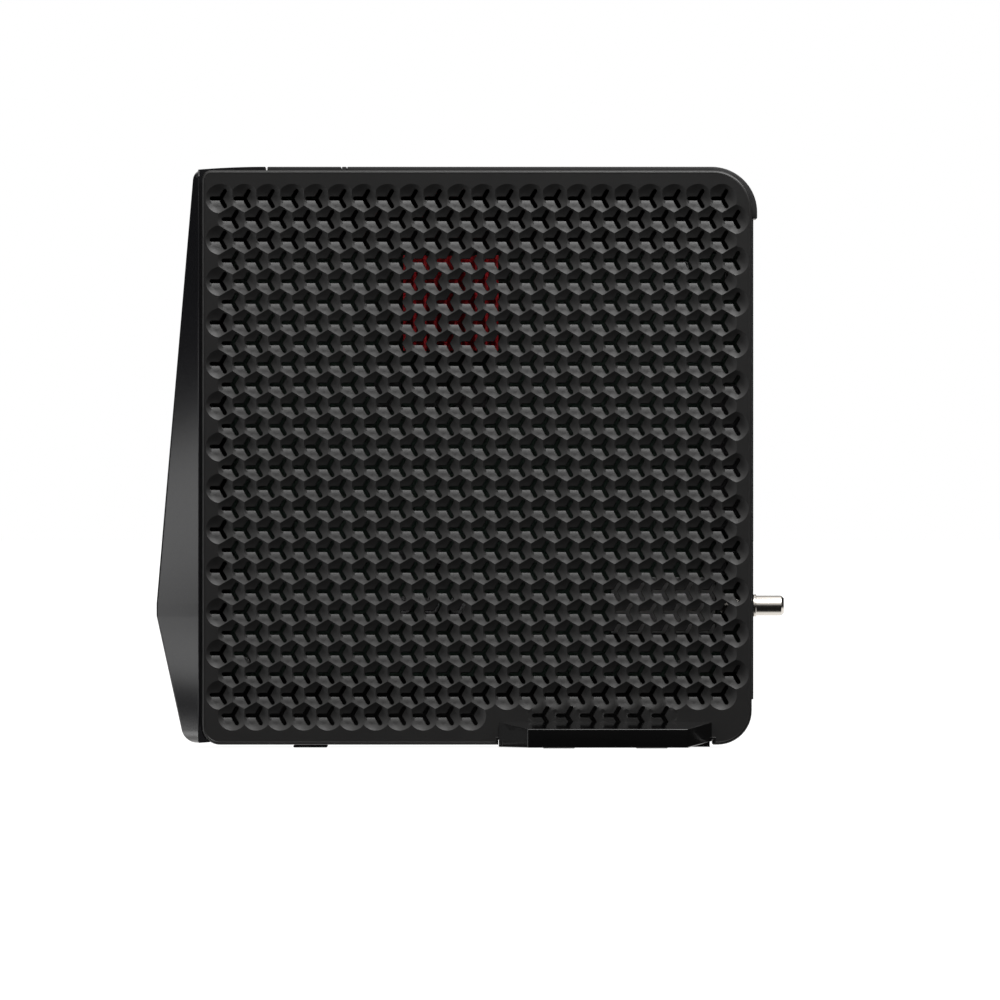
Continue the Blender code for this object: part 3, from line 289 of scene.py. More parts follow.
FINISHES = {
    "cover_plastic": surface("cover_plastic", (0.0062, 0.006, 0.006), 0.4, shine=0.46, grain=0.3),
    "nose_plastic": surface("nose_plastic", (0.004, 0.004, 0.005), 0.25, shine=0.5, grain=0.1),
    "band_plastic": surface("band_plastic", (0.011, 0.011, 0.0115), 0.38, shine=0.45),
    "stand_plastic": surface(
        "stand_plastic", (0.0012, 0.0012, 0.0013), 0.14, shine=0.5, coat=0.4, grain=0.04, mottle=0.2
    ),
    "jack_plastic": surface("jack_plastic", (0.012, 0.012, 0.013), 0.45),
    "insulator": surface("insulator", (0.72, 0.7, 0.64), 0.5, mottle=0.05),
    "soft_rubber": surface("soft_rubber", (0.01, 0.01, 0.0105), 0.85, shine=0.3, grain=0.6),
    "lens_plastic": surface("lens_plastic", (0.012, 0.012, 0.015), 0.08, coat=0.6, grain=0.02),
    "pipe_plastic": surface("pipe_plastic", (0.75, 0.77, 0.8), 0.25, mottle=0.04),
    "nickel": surface("nickel", (0.6, 0.57, 0.53), 0.2, metal=1.0, mottle=0.06, grain=0.08),
    "gold": surface("gold", (0.83, 0.6, 0.24), 0.22, metal=1.0, mottle=0.06),
    "steel": surface("steel", (0.5, 0.5, 0.5), 0.33, metal=1.0, mottle=0.1),
    "red_anodised": surface("red_anodised", (0.6, 0.014, 0.022), 0.5, metal=0.2, mottle=0.1, grain=0.3),
    "board_laminate": surface("board_laminate", (0.002, 0.014, 0.007), 0.55, mottle=0.3, patches=300.0),
    "chip_epoxy": surface("chip_epoxy", (0.018, 0.018, 0.019), 0.6, mottle=0.15),
    "pad_silicone": surface("pad_silicone", (0.33, 0.38, 0.48), 0.8),
    "can_aluminium": surface("can_aluminium", (0.68, 0.68, 0.7), 0.28, metal=1.0, mottle=0.05),
}


# ---- mesh helpers ----

BEVEL_STEPS = 3
SHARP_EDGE = 35
SMOOTH = 30


def mesh_piece(name, shape):
    """A new object from a bmesh, which is freed."""
    mesh = bpy.data.meshes.new(name)
    shape.to_mesh(mesh)
    shape.free()
    item = bpy.data.objects.new(name, mesh)
    bpy.context.scene.collection.objects.link(item)
    return item


def settle(item, nodes, body, slot, smooth=SMOOTH):
    """Finishes a piece that stands for CAD nodes and rides on their body.

    Its shading is smooth and breaks at edges sharper than an angle in degrees.
    """
    item.data.materials.clear()
    item.data.materials.append(FINISHES[slot])
    item.data.shade_smooth()
    item.data.set_sharp_from_angle(angle=math.radians(smooth))
    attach(item, body)
    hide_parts(*nodes)


def keep_flats(item, limit):
    """Shading that follows the larger faces, so that a flat face stays flat beside its soft edges."""
    mesh = item.data
    beside = [[] for _ in mesh.vertices]
    for face in mesh.polygons:
        for vertex in face.vertices:
            beside[vertex].append(face.index)
    normals = []
    for face in mesh.polygons:
        for vertex in face.vertices:
            total = Vector((0, 0, 0))
            for index in beside[vertex]:
                other = mesh.polygons[index]
                if other.normal.dot(face.normal) > math.cos(math.radians(limit)):
                    total += other.normal * other.area
            normals.append(total.normalized() if total.length > 0 else face.normal.copy())
    mesh.normals_split_custom_set(normals)


def box_shape(low, high):
    """A box between two corners."""
    size = Vector(high) - Vector(low)
    shape = bmesh.new()
    place = Matrix.Translation((Vector(low) + Vector(high)) / 2) @ Matrix.Diagonal((*size, 1.0))
    bmesh.ops.create_cube(shape, size=1.0, matrix=place)
    return shape


def bevel_edges(shape, width, sharper=SHARP_EDGE):
    """Rounds the edges that are sharper than an angle in degrees."""
    edges = [e for e in shape.edges if e.is_manifold and e.calc_face_angle() > math.radians(sharper)]
    bmesh.ops.bevel(
        shape,
        geom=edges,
        offset=width,
        segments=BEVEL_STEPS,
        profile=0.5,
        affect="EDGES",
        clamp_overlap=True,
    )


def merge_flats(shape):
    """Makes one face of neighbouring faces that lie in one plane."""
    bmesh.ops.dissolve_limit(
        shape, angle_limit=math.radians(0.5), verts=shape.verts, edges=shape.edges
    )


def rounded(corners, steps):
    """Points of a closed outline, given its corners as (across, up, radius) and the steps of each arc."""
    points = []
    for index, (across, up, radius) in enumerate(corners):
        corner = Vector((across, up))
        if radius == 0:
            points.append(corner)
            continue
        back = (Vector(corners[index - 1][:2]) - corner).normalized()
        ahead = (Vector(corners[(index + 1) % len(corners)][:2]) - corner).normalized()
        half_turn = back.angle(ahead) / 2
        reach = radius / math.tan(half_turn)
        centre = corner + (back + ahead).normalized() * radius / math.sin(half_turn)
        first = (corner + back * reach - centre).normalized()
        last = (corner + ahead * reach - centre).normalized()
        for step in range(steps + 1):
            points.append(centre + first.slerp(last, step / steps) * radius)
    return points


def outward(outline):
    """For each point of an outline that runs anticlockwise, how it moves when the outline grows by 1."""
    ways = []
    for index, point in enumerate(outline):
        before = (point - outline[index - 1]).normalized()
        after = (outline[(index + 1) % len(outline)] - point).normalized()
        first = Vector((before.y, -before.x))
        second = Vector((after.y, -after.x))
        ways.append((first + second) / (1 + first.dot(second)))
    return ways


def prism(outline, low, high, axis):
    """A flat outline made solid along an axis: X takes (y, z), Y takes (x, z) and Z takes (x, y)."""
    lay = {
        "X": lambda p, d: (d, p.x, p.y),
        "Y": lambda p, d: (p.x, d, p.y),
        "Z": lambda p, d: (p.x, p.y, d),
    }[axis]
    shape = bmesh.new()
    lower = [shape.verts.new(lay(p, low)) for p in outline]
    upper = [shape.verts.new(lay(p, high)) for p in outline]
    count = len(outline)
    for index in range(count):
        after = (index + 1) % count
        shape.faces.new((lower[index], lower[after], upper[after], upper[index]))
    shape.faces.new(lower[::-1])
    shape.faces.new(upper)
    bmesh.ops.recalc_face_normals(shape, faces=shape.faces)
    return shape


def loft(rings):
    """A closed solid through rings of points with the same count, capped at both ends."""
    shape = bmesh.new()
    rows = [[shape.verts.new(point) for point in ring] for ring in rings]
    count = len(rows[0])
    for lower, upper in zip(rows, rows[1:]):
        for index in range(count):
            after = (index + 1) % count
            shape.faces.new((lower[index], lower[after], upper[after], upper[index]))
    shape.faces.new(rows[0][::-1])
    shape.faces.new(rows[-1])
    bmesh.ops.recalc_face_normals(shape, faces=shape.faces)
    return shape


def turned(profile, centre, sides):
    """A solid turned round the X axis through centre, from (x, radius) points of a closed profile."""
    shape = bmesh.new()
    rows = []
    for side in range(sides):
        angle = 2 * math.pi * side / sides
        rows.append([
            shape.verts.new((x, centre[0] + radius * math.cos(angle), centre[1] + radius * math.sin(angle)))
            for x, radius in profile
        ])
    count = len(profile)
    for side in range(sides):
        row, beside = rows[side], rows[(side + 1) % sides]
        for index in range(count):
            after = (index + 1) % count
            if profile[index][1] == 0 and profile[after][1] == 0:
                continue
            shape.faces.new((row[index], row[after], beside[after], beside[index]))
    bmesh.ops.remove_doubles(shape, verts=shape.verts, dist=WELD)
    bmesh.ops.recalc_face_normals(shape, faces=shape.faces)
    return shape


def carve(name, base, joined=(), removed=()):
    """One mesh from a solid, with others joined to it and then others removed from it."""
    item = mesh_piece(name, base)
    tools = []
    for operation, shapes in (("UNION", joined), ("DIFFERENCE", removed)):
        for shape in shapes:
            tool = mesh_piece(f"{name}_tool", shape)
            modifier = item.modifiers.new(operation, "BOOLEAN")
            modifier.operation = operation
            modifier.solver = "EXACT"
            modifier.object = tool
            tools.append(tool)
    bpy.context.view_layer.update()
    done = bpy.data.meshes.new_from_object(item.evaluated_get(bpy.context.evaluated_depsgraph_get()))
    item.modifiers.clear()
    item.data = done
    for tool in tools:
        bpy.data.objects.remove(tool, do_unlink=True)
    return item


# ---- vented side covers ----

COVER_WALL = 2.2 * MM
COVER_FILLET = 1.1 * MM
RIM_STEP = 0.22 * MM
CORNER_FRONT_LOW = 8.0 * MM
CORNER_FRONT_TOP = 4.2 * MM
CORNER_REAR_LOW = 15.0 * MM
CORNER_REAR_TOP = 17.0 * MM
NOTCH_TALL = 2.1 * MM
NOTCH_FRONT_GAP = 0.08 * MM
NOTCH_REAR_GAP = 0.5 * MM
NOTCH_MARGIN = 1.0 * MM
GAP = 0.3 * MM
IN_LINE = 0.05 * MM

VENT_PITCH = 10.51 * MM
ROW_RISE = math.sin(math.radians(60))
VENT_ROWS = 26
VENT_COLUMNS = 22
VENT_FROM_FRONT = 8.2 * MM
VENT_FROM_TOP = 12.5 * MM
LAST_ROW_VENTS = tuple(range(11)) + tuple(range(13, 19))
LAST_ROW_FLAT = range(13, 19)
DIMPLE_RADIUS = 6.5 * MM
DIMPLE_DEPTH = 1.55 * MM
FLAT_DEPTH = 0.3 * MM
SLOT_WIDTH = 1.65 * MM
SLOT_FRONT_ARM = 4.75 * MM
SLOT_REAR_ARM = 4.7 * MM
LIP_WIDTH = 0.25 * MM
LIP_BELOW = 1.05 * MM
LIP_REACH = 4.95 * MM
LIP_DEPTH = 0.36 * MM
BLIND_FLOOR = 0.05 * MM
SIDE_STEPS = 4
ROUND_STEPS = 8
SLOT_END_STEPS = 4
OUTLINE_STEPS = 12
FILLET_STEPS = 6
POINT_SPACING = 1.25 * MM
POINT_MARGIN = 0.42 * POINT_SPACING
POINT_ROWS = 6
COVER_SMOOTH = 18

COVER_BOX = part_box("left_side_cover")
COVER_FACE = -COVER_BOX[0].y
COVER_INSIDE = COVER_FACE - COVER_WALL
FACE_PLANE = COVER_FACE - RIM_STEP
COVER_FRONT, COVER_REAR = COVER_BOX[0].x, COVER_BOX[1].x
COVER_LIFT, COVER_TOP = COVER_BOX[0].z, COVER_BOX[1].z
HALF_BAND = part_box("spine")[1].y
PANEL_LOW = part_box("rear_panel")[0].z
STAND_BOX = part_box("stand")
FACE_INSET = COVER_FILLET + RIM_STEP
BOWL_RADIUS = (DIMPLE_RADIUS ** 2 + DIMPLE_DEPTH ** 2) / (2 * DIMPLE_DEPTH)
BOWL_BASE = BOWL_RADIUS - DIMPLE_DEPTH
WALL_DEPTH = FACE_PLANE - COVER_INSIDE


def cover_outline():
    """A cover's outline as (x, z), anticlockwise from the left, with the recess for the stand."""
    front = STAND_BOX[0].x - NOTCH_FRONT_GAP
    rear = STAND_BOX[1].x + NOTCH_REAR_GAP
    notch = COVER_LIFT + NOTCH_TALL
    return rounded([
        (COVER_FRONT, COVER_LIFT, CORNER_FRONT_LOW),
        (front, COVER_LIFT, 0),
        (front, notch, 0),
        (rear, notch, 0),
        (rear, COVER_LIFT, 0),
        (COVER_REAR, COVER_LIFT, CORNER_REAR_LOW),
        (COVER_REAR, PANEL_LOW - GAP, 0),
        (COVER_REAR, COVER_TOP, CORNER_REAR_TOP),
        (COVER_FRONT, COVER_TOP, CORNER_FRONT_TOP),
    ], OUTLINE_STEPS)


def vent_cells():
    """Every vent as {(row, column): (x, z)}, with rows counted down from the top."""
    cells = {}
    for row in range(VENT_ROWS):
        for column in range(VENT_COLUMNS):
            if row < VENT_ROWS - 1 or column in LAST_ROW_VENTS:
                x = COVER_FRONT + VENT_FROM_FRONT + (column + 0.5 * (row % 2)) * VENT_PITCH
                z = COVER_TOP - VENT_FROM_TOP - row * VENT_PITCH * ROW_RISE
                cells[row, column] = Vector((x, z))
    return cells


def neighbours(row, column):
    """The six cells round a cell, anticlockwise from the one behind it."""
    shift = row % 2
    return [
        (row, column + 1),
        (row - 1, column + shift),
        (row - 1, column - 1 + shift),
        (row, column - 1),
        (row + 1, column - 1 + shift),
        (row + 1, column + shift),
    ]


def polar(angle, length):
    """A step of some length in a direction."""
    return Vector((math.cos(angle) * length, math.sin(angle) * length))


def cell_edge(mask):
    """Points round a cell, and for each whether the stretch after it borders the flat margin.

    A side that meets another cell is straight and a free side is round.
    """
    half = VENT_PITCH / 2
    corner = half * math.tan(math.radians(30))
    reach = math.sqrt(DIMPLE_RADIUS ** 2 - half ** 2)
    opening = math.acos(half / DIMPLE_RADIUS)
    turn = math.radians(60)
    points = []
    free = []
    for side in range(6):
        middle = side * turn
        before = mask[side - 1]
        after = mask[(side + 1) % 6]
        if mask[side]:
            start = -corner if before else -reach
            end = corner if after else reach
            for step in range(SIDE_STEPS):
                along = start + (end - start) * step / SIDE_STEPS
                points.append(polar(middle, half) + polar(middle + math.pi / 2, along))
                free.append(False)
        else:
            start = middle - turn + opening if before else middle - turn / 2
            end = middle + turn - opening if after else middle + turn / 2
            for step in range(ROUND_STEPS):
                points.append(polar(start + (end - start) * step / ROUND_STEPS, DIMPLE_RADIUS))
                free.append(True)
    return points, free


def slot_outline(grow, below=0.0):
    """The Y of a slot, one arm to the front and two to the rear, with round ends.

    It may grow all round, and further below the front arm.
    """
    half = SLOT_WIDTH / 2 + grow
    crotch = half / math.sin(math.radians(60))
    points = []
    for degrees, length in ((60, SLOT_REAR_ARM), (180, SLOT_FRONT_ARM), (300, SLOT_REAR_ARM)):
        angle = math.radians(degrees)
        end = polar(angle, min(length + grow, LIP_REACH) - half)
        for step in range(SLOT_END_STEPS + 1):
            points.append(end + polar(angle + math.radians(-90 + 180 * step / SLOT_END_STEPS), half))
        points.append(polar(angle + math.radians(60), crotch))
        if degrees == 180:
            points[-2].y -= below
            points[-1] += Vector((below / math.tan(math.radians(60)), -below))
    return points


def inside(point, outline):
    """Whether a point is inside a closed outline."""
    within = False
    for index, there in enumerate(outline):
        here = outline[index - 1]
        if (here.y > point.y) != (there.y > point.y):
            cross = here.x + (point.y - here.y) * (there.x - here.x) / (there.y - here.y)
            if point.x < cross:
                within = not within
    return within


def clearance(point, outline):
    """The distance from a point to a closed outline."""
    nearest = 1.0
    for index, there in enumerate(outline):
        here = outline[index - 1]
        along = there - here
        share = max(0.0, min(1.0, (point - here).dot(along) / along.length_squared))
        nearest = min(nearest, (point - here - along * share).length)
    return nearest


def bowl(point):
    """How deep a dimple is at a place measured from its centre."""
    return max(0.0, math.sqrt(BOWL_RADIUS ** 2 - point.length_squared) - BOWL_BASE)


def loop_edges(start, count):
    """The edges of a closed loop of points that are numbered from start."""
    return [(start + index, start + (index + 1) % count) for index in range(count)]


def cell_template(mask, flat, blind):
    """Points as (x, z, depth) and faces of one vent, measured from its centre.

    A vent is a dimple with a slot. It may be flat, and its slot may be blind.
    """
    edge, _ = cell_edge(mask)
    lip = slot_outline(LIP_WIDTH, 0.0 if flat else LIP_BELOW)
    mouth = slot_outline(0)
    fill = []
    span = range(-POINT_ROWS, POINT_ROWS + 1)
    for row in span:
        for column in span:
            place = Vector((column + 0.5 * (row % 2), row * ROW_RISE)) * POINT_SPACING
            if inside(place, edge) and not inside(place, lip):
                if min(clearance(place, edge), clearance(place, lip)) > POINT_MARGIN:
                    fill.append(place)
    flat_points = edge + lip + fill
    edges = loop_edges(0, len(edge)) + loop_edges(len(edge), len(lip))
    found, _, triangles, origins, _, _ = delaunay_2d_cdt(flat_points, edges, [], 0, EXACT)

    def depth(index):
        place = found[index]
        on_edge = any(origin < len(edge) for origin in origins[index])
        return FLAT_DEPTH if flat and not on_edge else bowl(place)

    points = [(place.x, place.y, depth(index)) for index, place in enumerate(found)]
    faces = []
    for triangle in triangles:
        middle = sum((found[index] for index in triangle), Vector((0, 0))) / 3
        if not inside(middle, lip) and inside(middle, edge):
            faces.append(tuple(triangle))

    def row_of(places, depth_at):
        start = len(points)
        points.extend((place.x, place.y, depth_at(place)) for place in places)
        return start

    def strip(upper, lower, count):
        for index in range(count):
            after = (index + 1) % count
            faces.append((upper + index, upper + after, lower + after, lower + index))

    level = (lambda place: FLAT_DEPTH) if flat else bowl
    count = len(lip)
    lip_row = row_of(lip, level)
    mouth_row = row_of(mouth, lambda place: level(place) + LIP_DEPTH)
    floor_depth = WALL_DEPTH - BLIND_FLOOR if blind else WALL_DEPTH
    floor_row = row_of(mouth, lambda place: floor_depth)
    strip(lip_row, mouth_row, count)
    strip(mouth_row, floor_row, count)
    if blind:
        faces.append(tuple(range(floor_row, floor_row + count)))
    return points, faces


def strip_between(points, faces, upper, lower, segments=None):
    """Quads between two rows of 3D points that run side by side, at all or some of the segments."""
    count = len(upper)
    for index in range(count):
        if segments is None or index in segments:
            after = (index + 1) % count
            start = len(points)
            points.extend([upper[index], upper[after], lower[after], lower[index]])
            faces.append((start, start + 1, start + 2, start + 3))


def flat_sheet(points, faces, loops, depth, keep):
    """Triangles of a flat sheet, where keep says so. Each loop is (2D points, whether it is closed)."""
    places = []
    edges = []
    for chain, closed in loops:
        start = len(places)
        places.extend(chain)
        stop = len(chain) if closed else len(chain) - 1
        edges.extend((start + index, start + (index + 1) % len(chain)) for index in range(stop))
    found, _, triangles, _, _, _ = delaunay_2d_cdt(places, edges, [], 0, EXACT)
    start = len(points)
    points.extend((place.x, place.y, depth) for place in found)
    for triangle in triangles:
        middle = sum((found[index] for index in triangle), Vector((0, 0))) / 3
        if keep(middle):
            faces.append(tuple(start + index for index in triangle))


def is_blind(centre, side):
    """Whether a slot ends in the wall: on the right cover, where it isn't over the board."""
    low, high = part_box("main_board")
    arm = SLOT_FRONT_ARM
    over_board = low.x + arm < centre.x < high.x - arm and low.z + arm < centre.y < high.z - arm
    return side > 0 and not over_board


def lay_cells(points, faces, cells, side):
    """Adds every vent.

    Gives the stretches that border the flat margin, and the outlines of the slots that go through.
    """
    chains = []
    slots = {}
    templates = {}
    for (row, column), centre in cells.items():
        mask = tuple(place in cells for place in neighbours(row, column))
        flat = row == VENT_ROWS - 1 and column in LAST_ROW_FLAT
        blind = is_blind(centre, side)
        key = (mask, flat, blind)
        if key not in templates:
            templates[key] = cell_template(*key)
        cell_points, cell_faces = templates[key]
        start = len(points)
        points.extend((centre.x + x, centre.y + z, depth) for x, z, depth in cell_points)
        faces.extend(tuple(start + index for index in face) for face in cell_faces)
        edge, free = cell_edge(mask)
        for index, is_free in enumerate(free):
            if is_free:
                pair = [centre + edge[index], centre + edge[(index + 1) % len(edge)]]
                chains.append((pair, False))
        if not blind:
            slots[row, column] = [centre + place for place in slot_outline(0)]
    return chains, slots


def cell_finder(cells):
    """A function that names the cell nearest to a place."""
    keys = list(cells)
    centres = np.array([tuple(centre) for centre in cells.values()])

    def nearest(place):
        gaps = (centres[:, 0] - place.x) ** 2 + (centres[:, 1] - place.y) ** 2
        return keys[int(gaps.argmin())]

    return nearest


def shrunk(outline, ways, inset):
    """An outline drawn in by an inset."""
    return [place - way * inset for place, way in zip(outline, ways)]


def raised(places, across):
    """2D places put at a distance from the middle of the case, as (x, z, depth below the face)."""
    return [(place.x, place.y, FACE_PLANE - across) for place in places]


def soft_edge(points, faces, outline, ways):
    """Adds the rounded outer edge and the small step down to the face inside it."""
    rows = []
    for turn in range(FILLET_STEPS + 1):
        angle = math.pi / 2 * turn / FILLET_STEPS
        inset = COVER_FILLET * (1 - math.cos(angle))
        rows.append(raised(shrunk(outline, ways, inset), COVER_FACE - COVER_FILLET * (1 - math.sin(angle))))
    rows.append(raised(shrunk(outline, ways, FACE_INSET), FACE_PLANE))
    for upper, lower in zip(rows, rows[1:]):
        strip_between(points, faces, upper, lower)


def inner_edge(outline, ways):
    """The inside of the flanges, which passes over the recess for the stand."""
    front, rear = STAND_BOX[0].x, STAND_BOX[1].x
    floor = COVER_LIFT + NOTCH_TALL + COVER_WALL
    inner = []
    for place, way in zip(outline, ways):
        spot = place - way * COVER_WALL
        if spot.x > front - 2 * COVER_WALL and spot.y < floor and place.x > front - NOTCH_MARGIN:
            spot.y = floor
            spot.x = min(spot.x, COVER_REAR - COVER_WALL - NOTCH_MARGIN)
            if abs(place.x - rear - NOTCH_REAR_GAP) < IN_LINE:
                spot.x = place.x
        inner.append(spot)
    return inner


def flange_reaches(outline):
    """For the stretch after each point, how near the flange comes to the middle of the case."""
    reaches = []
    for index, place in enumerate(outline):
        middle = (place + outline[(index + 1) % len(outline)]) / 2
        at_top = middle.y > COVER_TOP - CORNER_REAR_TOP
        at_panel = middle.x > COVER_REAR - NOTCH_MARGIN and middle.y > PANEL_LOW - GAP
        if abs(middle.x - COVER_FRONT) < IN_LINE:
            reaches.append(COVER_INSIDE)
        elif at_top or at_panel:
            reaches.append(HALF_BAND + GAP)
        else:
            reaches.append(GAP / 2)
    return reaches


def flanges(points, faces, outline, inner, reaches):
    """Adds the walls round the cover, each stretch as deep as it reaches."""
    levels = [COVER_FACE - COVER_FILLET, COVER_INSIDE, HALF_BAND + GAP, GAP / 2]
    count = len(outline)
    for upper, lower in zip(levels, levels[1:]):
        deep = {index for index in range(count) if reaches[index] < upper - CLOSE}
        strip_between(points, faces, raised(outline, upper), raised(outline, lower), deep)
        if upper > COVER_INSIDE + CLOSE:
            continue
        strip_between(points, faces, raised(inner, upper), raised(inner, lower), deep)
        for index in range(count):
            if (index in deep) != ((index - 1) % count in deep):
                pair = [outline[index], inner[index]]
                strip_between(points, faces, raised(pair, upper), raised(pair, lower), {0})
    for level in levels[2:]:
        ending = {index for index in range(count) if abs(reaches[index] - level) < CLOSE}
        strip_between(points, faces, raised(outline, level), raised(inner, level), ending)


def inner_boundary(outline, inner, reaches):
    """The edge of the cover's inner side: inside the flanges, and the outline where it has none."""
    boundary = []
    for index, places in enumerate(zip(outline, inner)):
        is_open = reaches[index] > COVER_INSIDE - CLOSE
        was_open = reaches[index - 1] > COVER_INSIDE - CLOSE
        if is_open == was_open:
            boundary.append(places[0] if is_open else places[1])
        else:
            boundary += places if was_open else places[::-1]
    gaps = [(place - boundary[index - 1]).length for index, place in enumerate(boundary)]
    return [place for place, gap in zip(boundary, gaps) if gap > 2 * WELD]


def vented_cover(name, side):
    """A side cover: dimpled and slotted face, soft outer edge, and flanges that meet the other parts."""
    outline = cover_outline()
    ways = outward(outline)
    cells = vent_cells()
    nearest = cell_finder(cells)
    points = []
    faces = []
    chains, slots = lay_cells(points, faces, cells, side)
    rim = shrunk(outline, ways, FACE_INSET)

    def on_margin(place):
        key = nearest(place)
        mask = tuple(there in cells for there in neighbours(*key))
        return inside(place, rim) and not inside(place - cells[key], cell_edge(mask)[0])

    flat_sheet(points, faces, [(rim, True)] + chains, 0.0, on_margin)
    soft_edge(points, faces, outline, ways)
    inner = inner_edge(outline, ways)
    reaches = flange_reaches(outline)
    flanges(points, faces, outline, inner, reaches)
    boundary = inner_boundary(outline, inner, reaches)

    def beside_slots(place):
        key = nearest(place)
        return inside(place, boundary) and not (key in slots and inside(place, slots[key]))

    loops = [(boundary, True)] + [(slot, True) for slot in slots.values()]
    flat_sheet(points, faces, loops, WALL_DEPTH, beside_slots)
    mesh = bpy.data.meshes.new(name)
    mesh.from_pydata([(x, side * (FACE_PLANE - depth), z) for x, z, depth in points], [], faces)
    shape = bmesh.new()
    shape.from_mesh(mesh)
    bmesh.ops.remove_doubles(shape, verts=shape.verts, dist=2 * WELD)
    bmesh.ops.dissolve_degenerate(shape, edges=shape.edges, dist=WELD)
    bmesh.ops.recalc_face_normals(shape, faces=shape.faces)
    return mesh_piece(name, shape)


# ---- nose ----

NOSE_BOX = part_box("front_cover")
NOSE_TIP = NOSE_BOX[0].x
NOSE_SEAM = 0.9 * MM
NOSE_REAR = COVER_FRONT - NOSE_SEAM
NOSE_OVERLAP = 0.4 * MM
NOSE_ROOT = NOSE_REAR - NOSE_OVERLAP
NOSE_LOW = NOSE_BOX[0].z
TONGUE_END = NOSE_BOX[1].x
BAND_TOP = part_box("spine")[1].z
BAND_THICK = 4.0 * MM
NOSE_RISE = 0.5 * MM
NOSE_TOP = COVER_TOP + NOSE_RISE
NOSE_TIP_LOW = 58.1 * MM
NOSE_TIP_HIGH = 63.4 * MM
NOSE_TIP_ROUND = 4.0 * MM
NOSE_TOP_SETBACK = 16.4 * MM
NOSE_LOW_SETBACK = 12.3 * MM
NOSE_TOP_CORNER = 4.8 * MM
NOSE_LOW_CORNER = 7.0 * MM
NOSE_EDGE = 1.5 * MM
NOSE_REAR_EDGE = 0.5 * MM
NOSE_WALL = 2.4 * MM
NOSE_THINNEST = 0.7 * MM
NOSE_RIM_DEPTH = 4.0 * MM
NOSE_RIM_WALL = 2.0 * MM
NOSE_ROW = 6.0 * MM
NOSE_STEPS = 7
NOSE_EDGE_STEPS = 5
NOSE_SMOOTH = 24
TONGUE_STEPS = 8
CHIN_LENGTH = 3.6 * MM
CHIN_INSET = 0.5 * MM
CHIN_STEPS = 8


def nose_profile():
    """The nose's front edge from its low corner to its top, as (x, z) points with height rising."""
    outline = rounded([
        (NOSE_REAR, NOSE_LOW, 0),
        (NOSE_TIP + NOSE_LOW_SETBACK, NOSE_LOW, NOSE_LOW_CORNER),
        (NOSE_TIP, NOSE_TIP_LOW, NOSE_TIP_ROUND),
        (NOSE_TIP, NOSE_TIP_HIGH, NOSE_TIP_ROUND),
        (NOSE_TIP + NOSE_TOP_SETBACK, NOSE_TOP, NOSE_TOP_CORNER),
        (NOSE_REAR, NOSE_TOP, 0),
    ], NOSE_STEPS)
    points = outline[1:-1]
    dense = [points[0]]
    for before, after in zip(points, points[1:]):
        steps = max(1, round((after - before).length / NOSE_ROW))
        dense.extend(before.lerp(after, step / steps) for step in range(1, steps + 1))
    return [Vector((min(point.x, NOSE_REAR - NOSE_THINNEST), point.y)) for point in dense]


def nose_block():
    """The nose's solid: at each height a plan with soft front and rear edges."""
    rings = []
    for x, z in nose_profile():
        edge = min(NOSE_EDGE, (NOSE_REAR - x) / 2)
        plan = rounded([
            (NOSE_REAR, -COVER_FACE, NOSE_REAR_EDGE),
            (NOSE_REAR, COVER_FACE, NOSE_REAR_EDGE),
            (x, HALF_BAND, edge),
            (x, -HALF_BAND, edge),
        ], NOSE_EDGE_STEPS)
        rings.append([(place.x, place.y, z) for place in plan])
    return loft(rings)


def nose_hollow():
    """The space inside the nose, open to the rear through its rim."""
    back = NOSE_REAR + NOSE_RIM_DEPTH + MM
    side = COVER_INSIDE - GAP - NOSE_RIM_WALL
    floor = COVER_LIFT + COVER_WALL + GAP + NOSE_RIM_WALL
    ceiling = COVER_TOP - COVER_WALL - GAP - NOSE_RIM_WALL
    front = HALF_BAND - NOSE_WALL / 2
    shoulder = NOSE_REAR - NOSE_WALL / 2
    rings = []
    for x, z in nose_profile():
        inner = x + NOSE_WALL
        if floor < z < ceiling and inner < NOSE_REAR - NOSE_WALL:
            half = [(back, side), (shoulder, side), (inner, front)]
            plan = [(px, -py) for px, py in half] + half[::-1]
            rings.append([(px, py, z) for px, py in plan])
    return loft(rings)


def slant_frame():
    """The frame of the nose's front face at the lens: +Z up the face and -X out of it."""
    low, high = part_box("status_lens")
    height = (low.z + high.z) / 2
    rise = COVER_TOP - NOSE_TIP_HIGH
    lean = math.atan2(NOSE_TOP_SETBACK, rise)
    x = NOSE_TIP + NOSE_TOP_SETBACK * (height - NOSE_TIP_HIGH) / rise
    return Matrix.Translation((x, 0, height)) @ Matrix.Rotation(lean, 4, "Y")


def nose_rim():
    """The frame behind the nose that enters the case."""
    side = COVER_INSIDE - GAP
    low = COVER_LIFT + COVER_WALL + GAP
    top = COVER_TOP - COVER_WALL - GAP
    return box_shape((NOSE_REAR - MM, -side, low), (NOSE_REAR + NOSE_RIM_DEPTH, side, top))


def nose_tongue():
    """The tongue along the top of the case, which rises a little towards the nose."""
    floor = BAND_TOP - BAND_THICK
    span = TONGUE_END - NOSE_ROOT
    top = []
    for step in range(TONGUE_STEPS + 1):
        share = step / TONGUE_STEPS
        top.append(Vector((NOSE_ROOT + span * (1 - share), BAND_TOP - (BAND_TOP - NOSE_TOP) * share ** 2)))
    outline = [Vector((NOSE_ROOT, floor)), Vector((TONGUE_END, floor))] + top
    return prism(outline, -HALF_BAND, HALF_BAND, "Y")


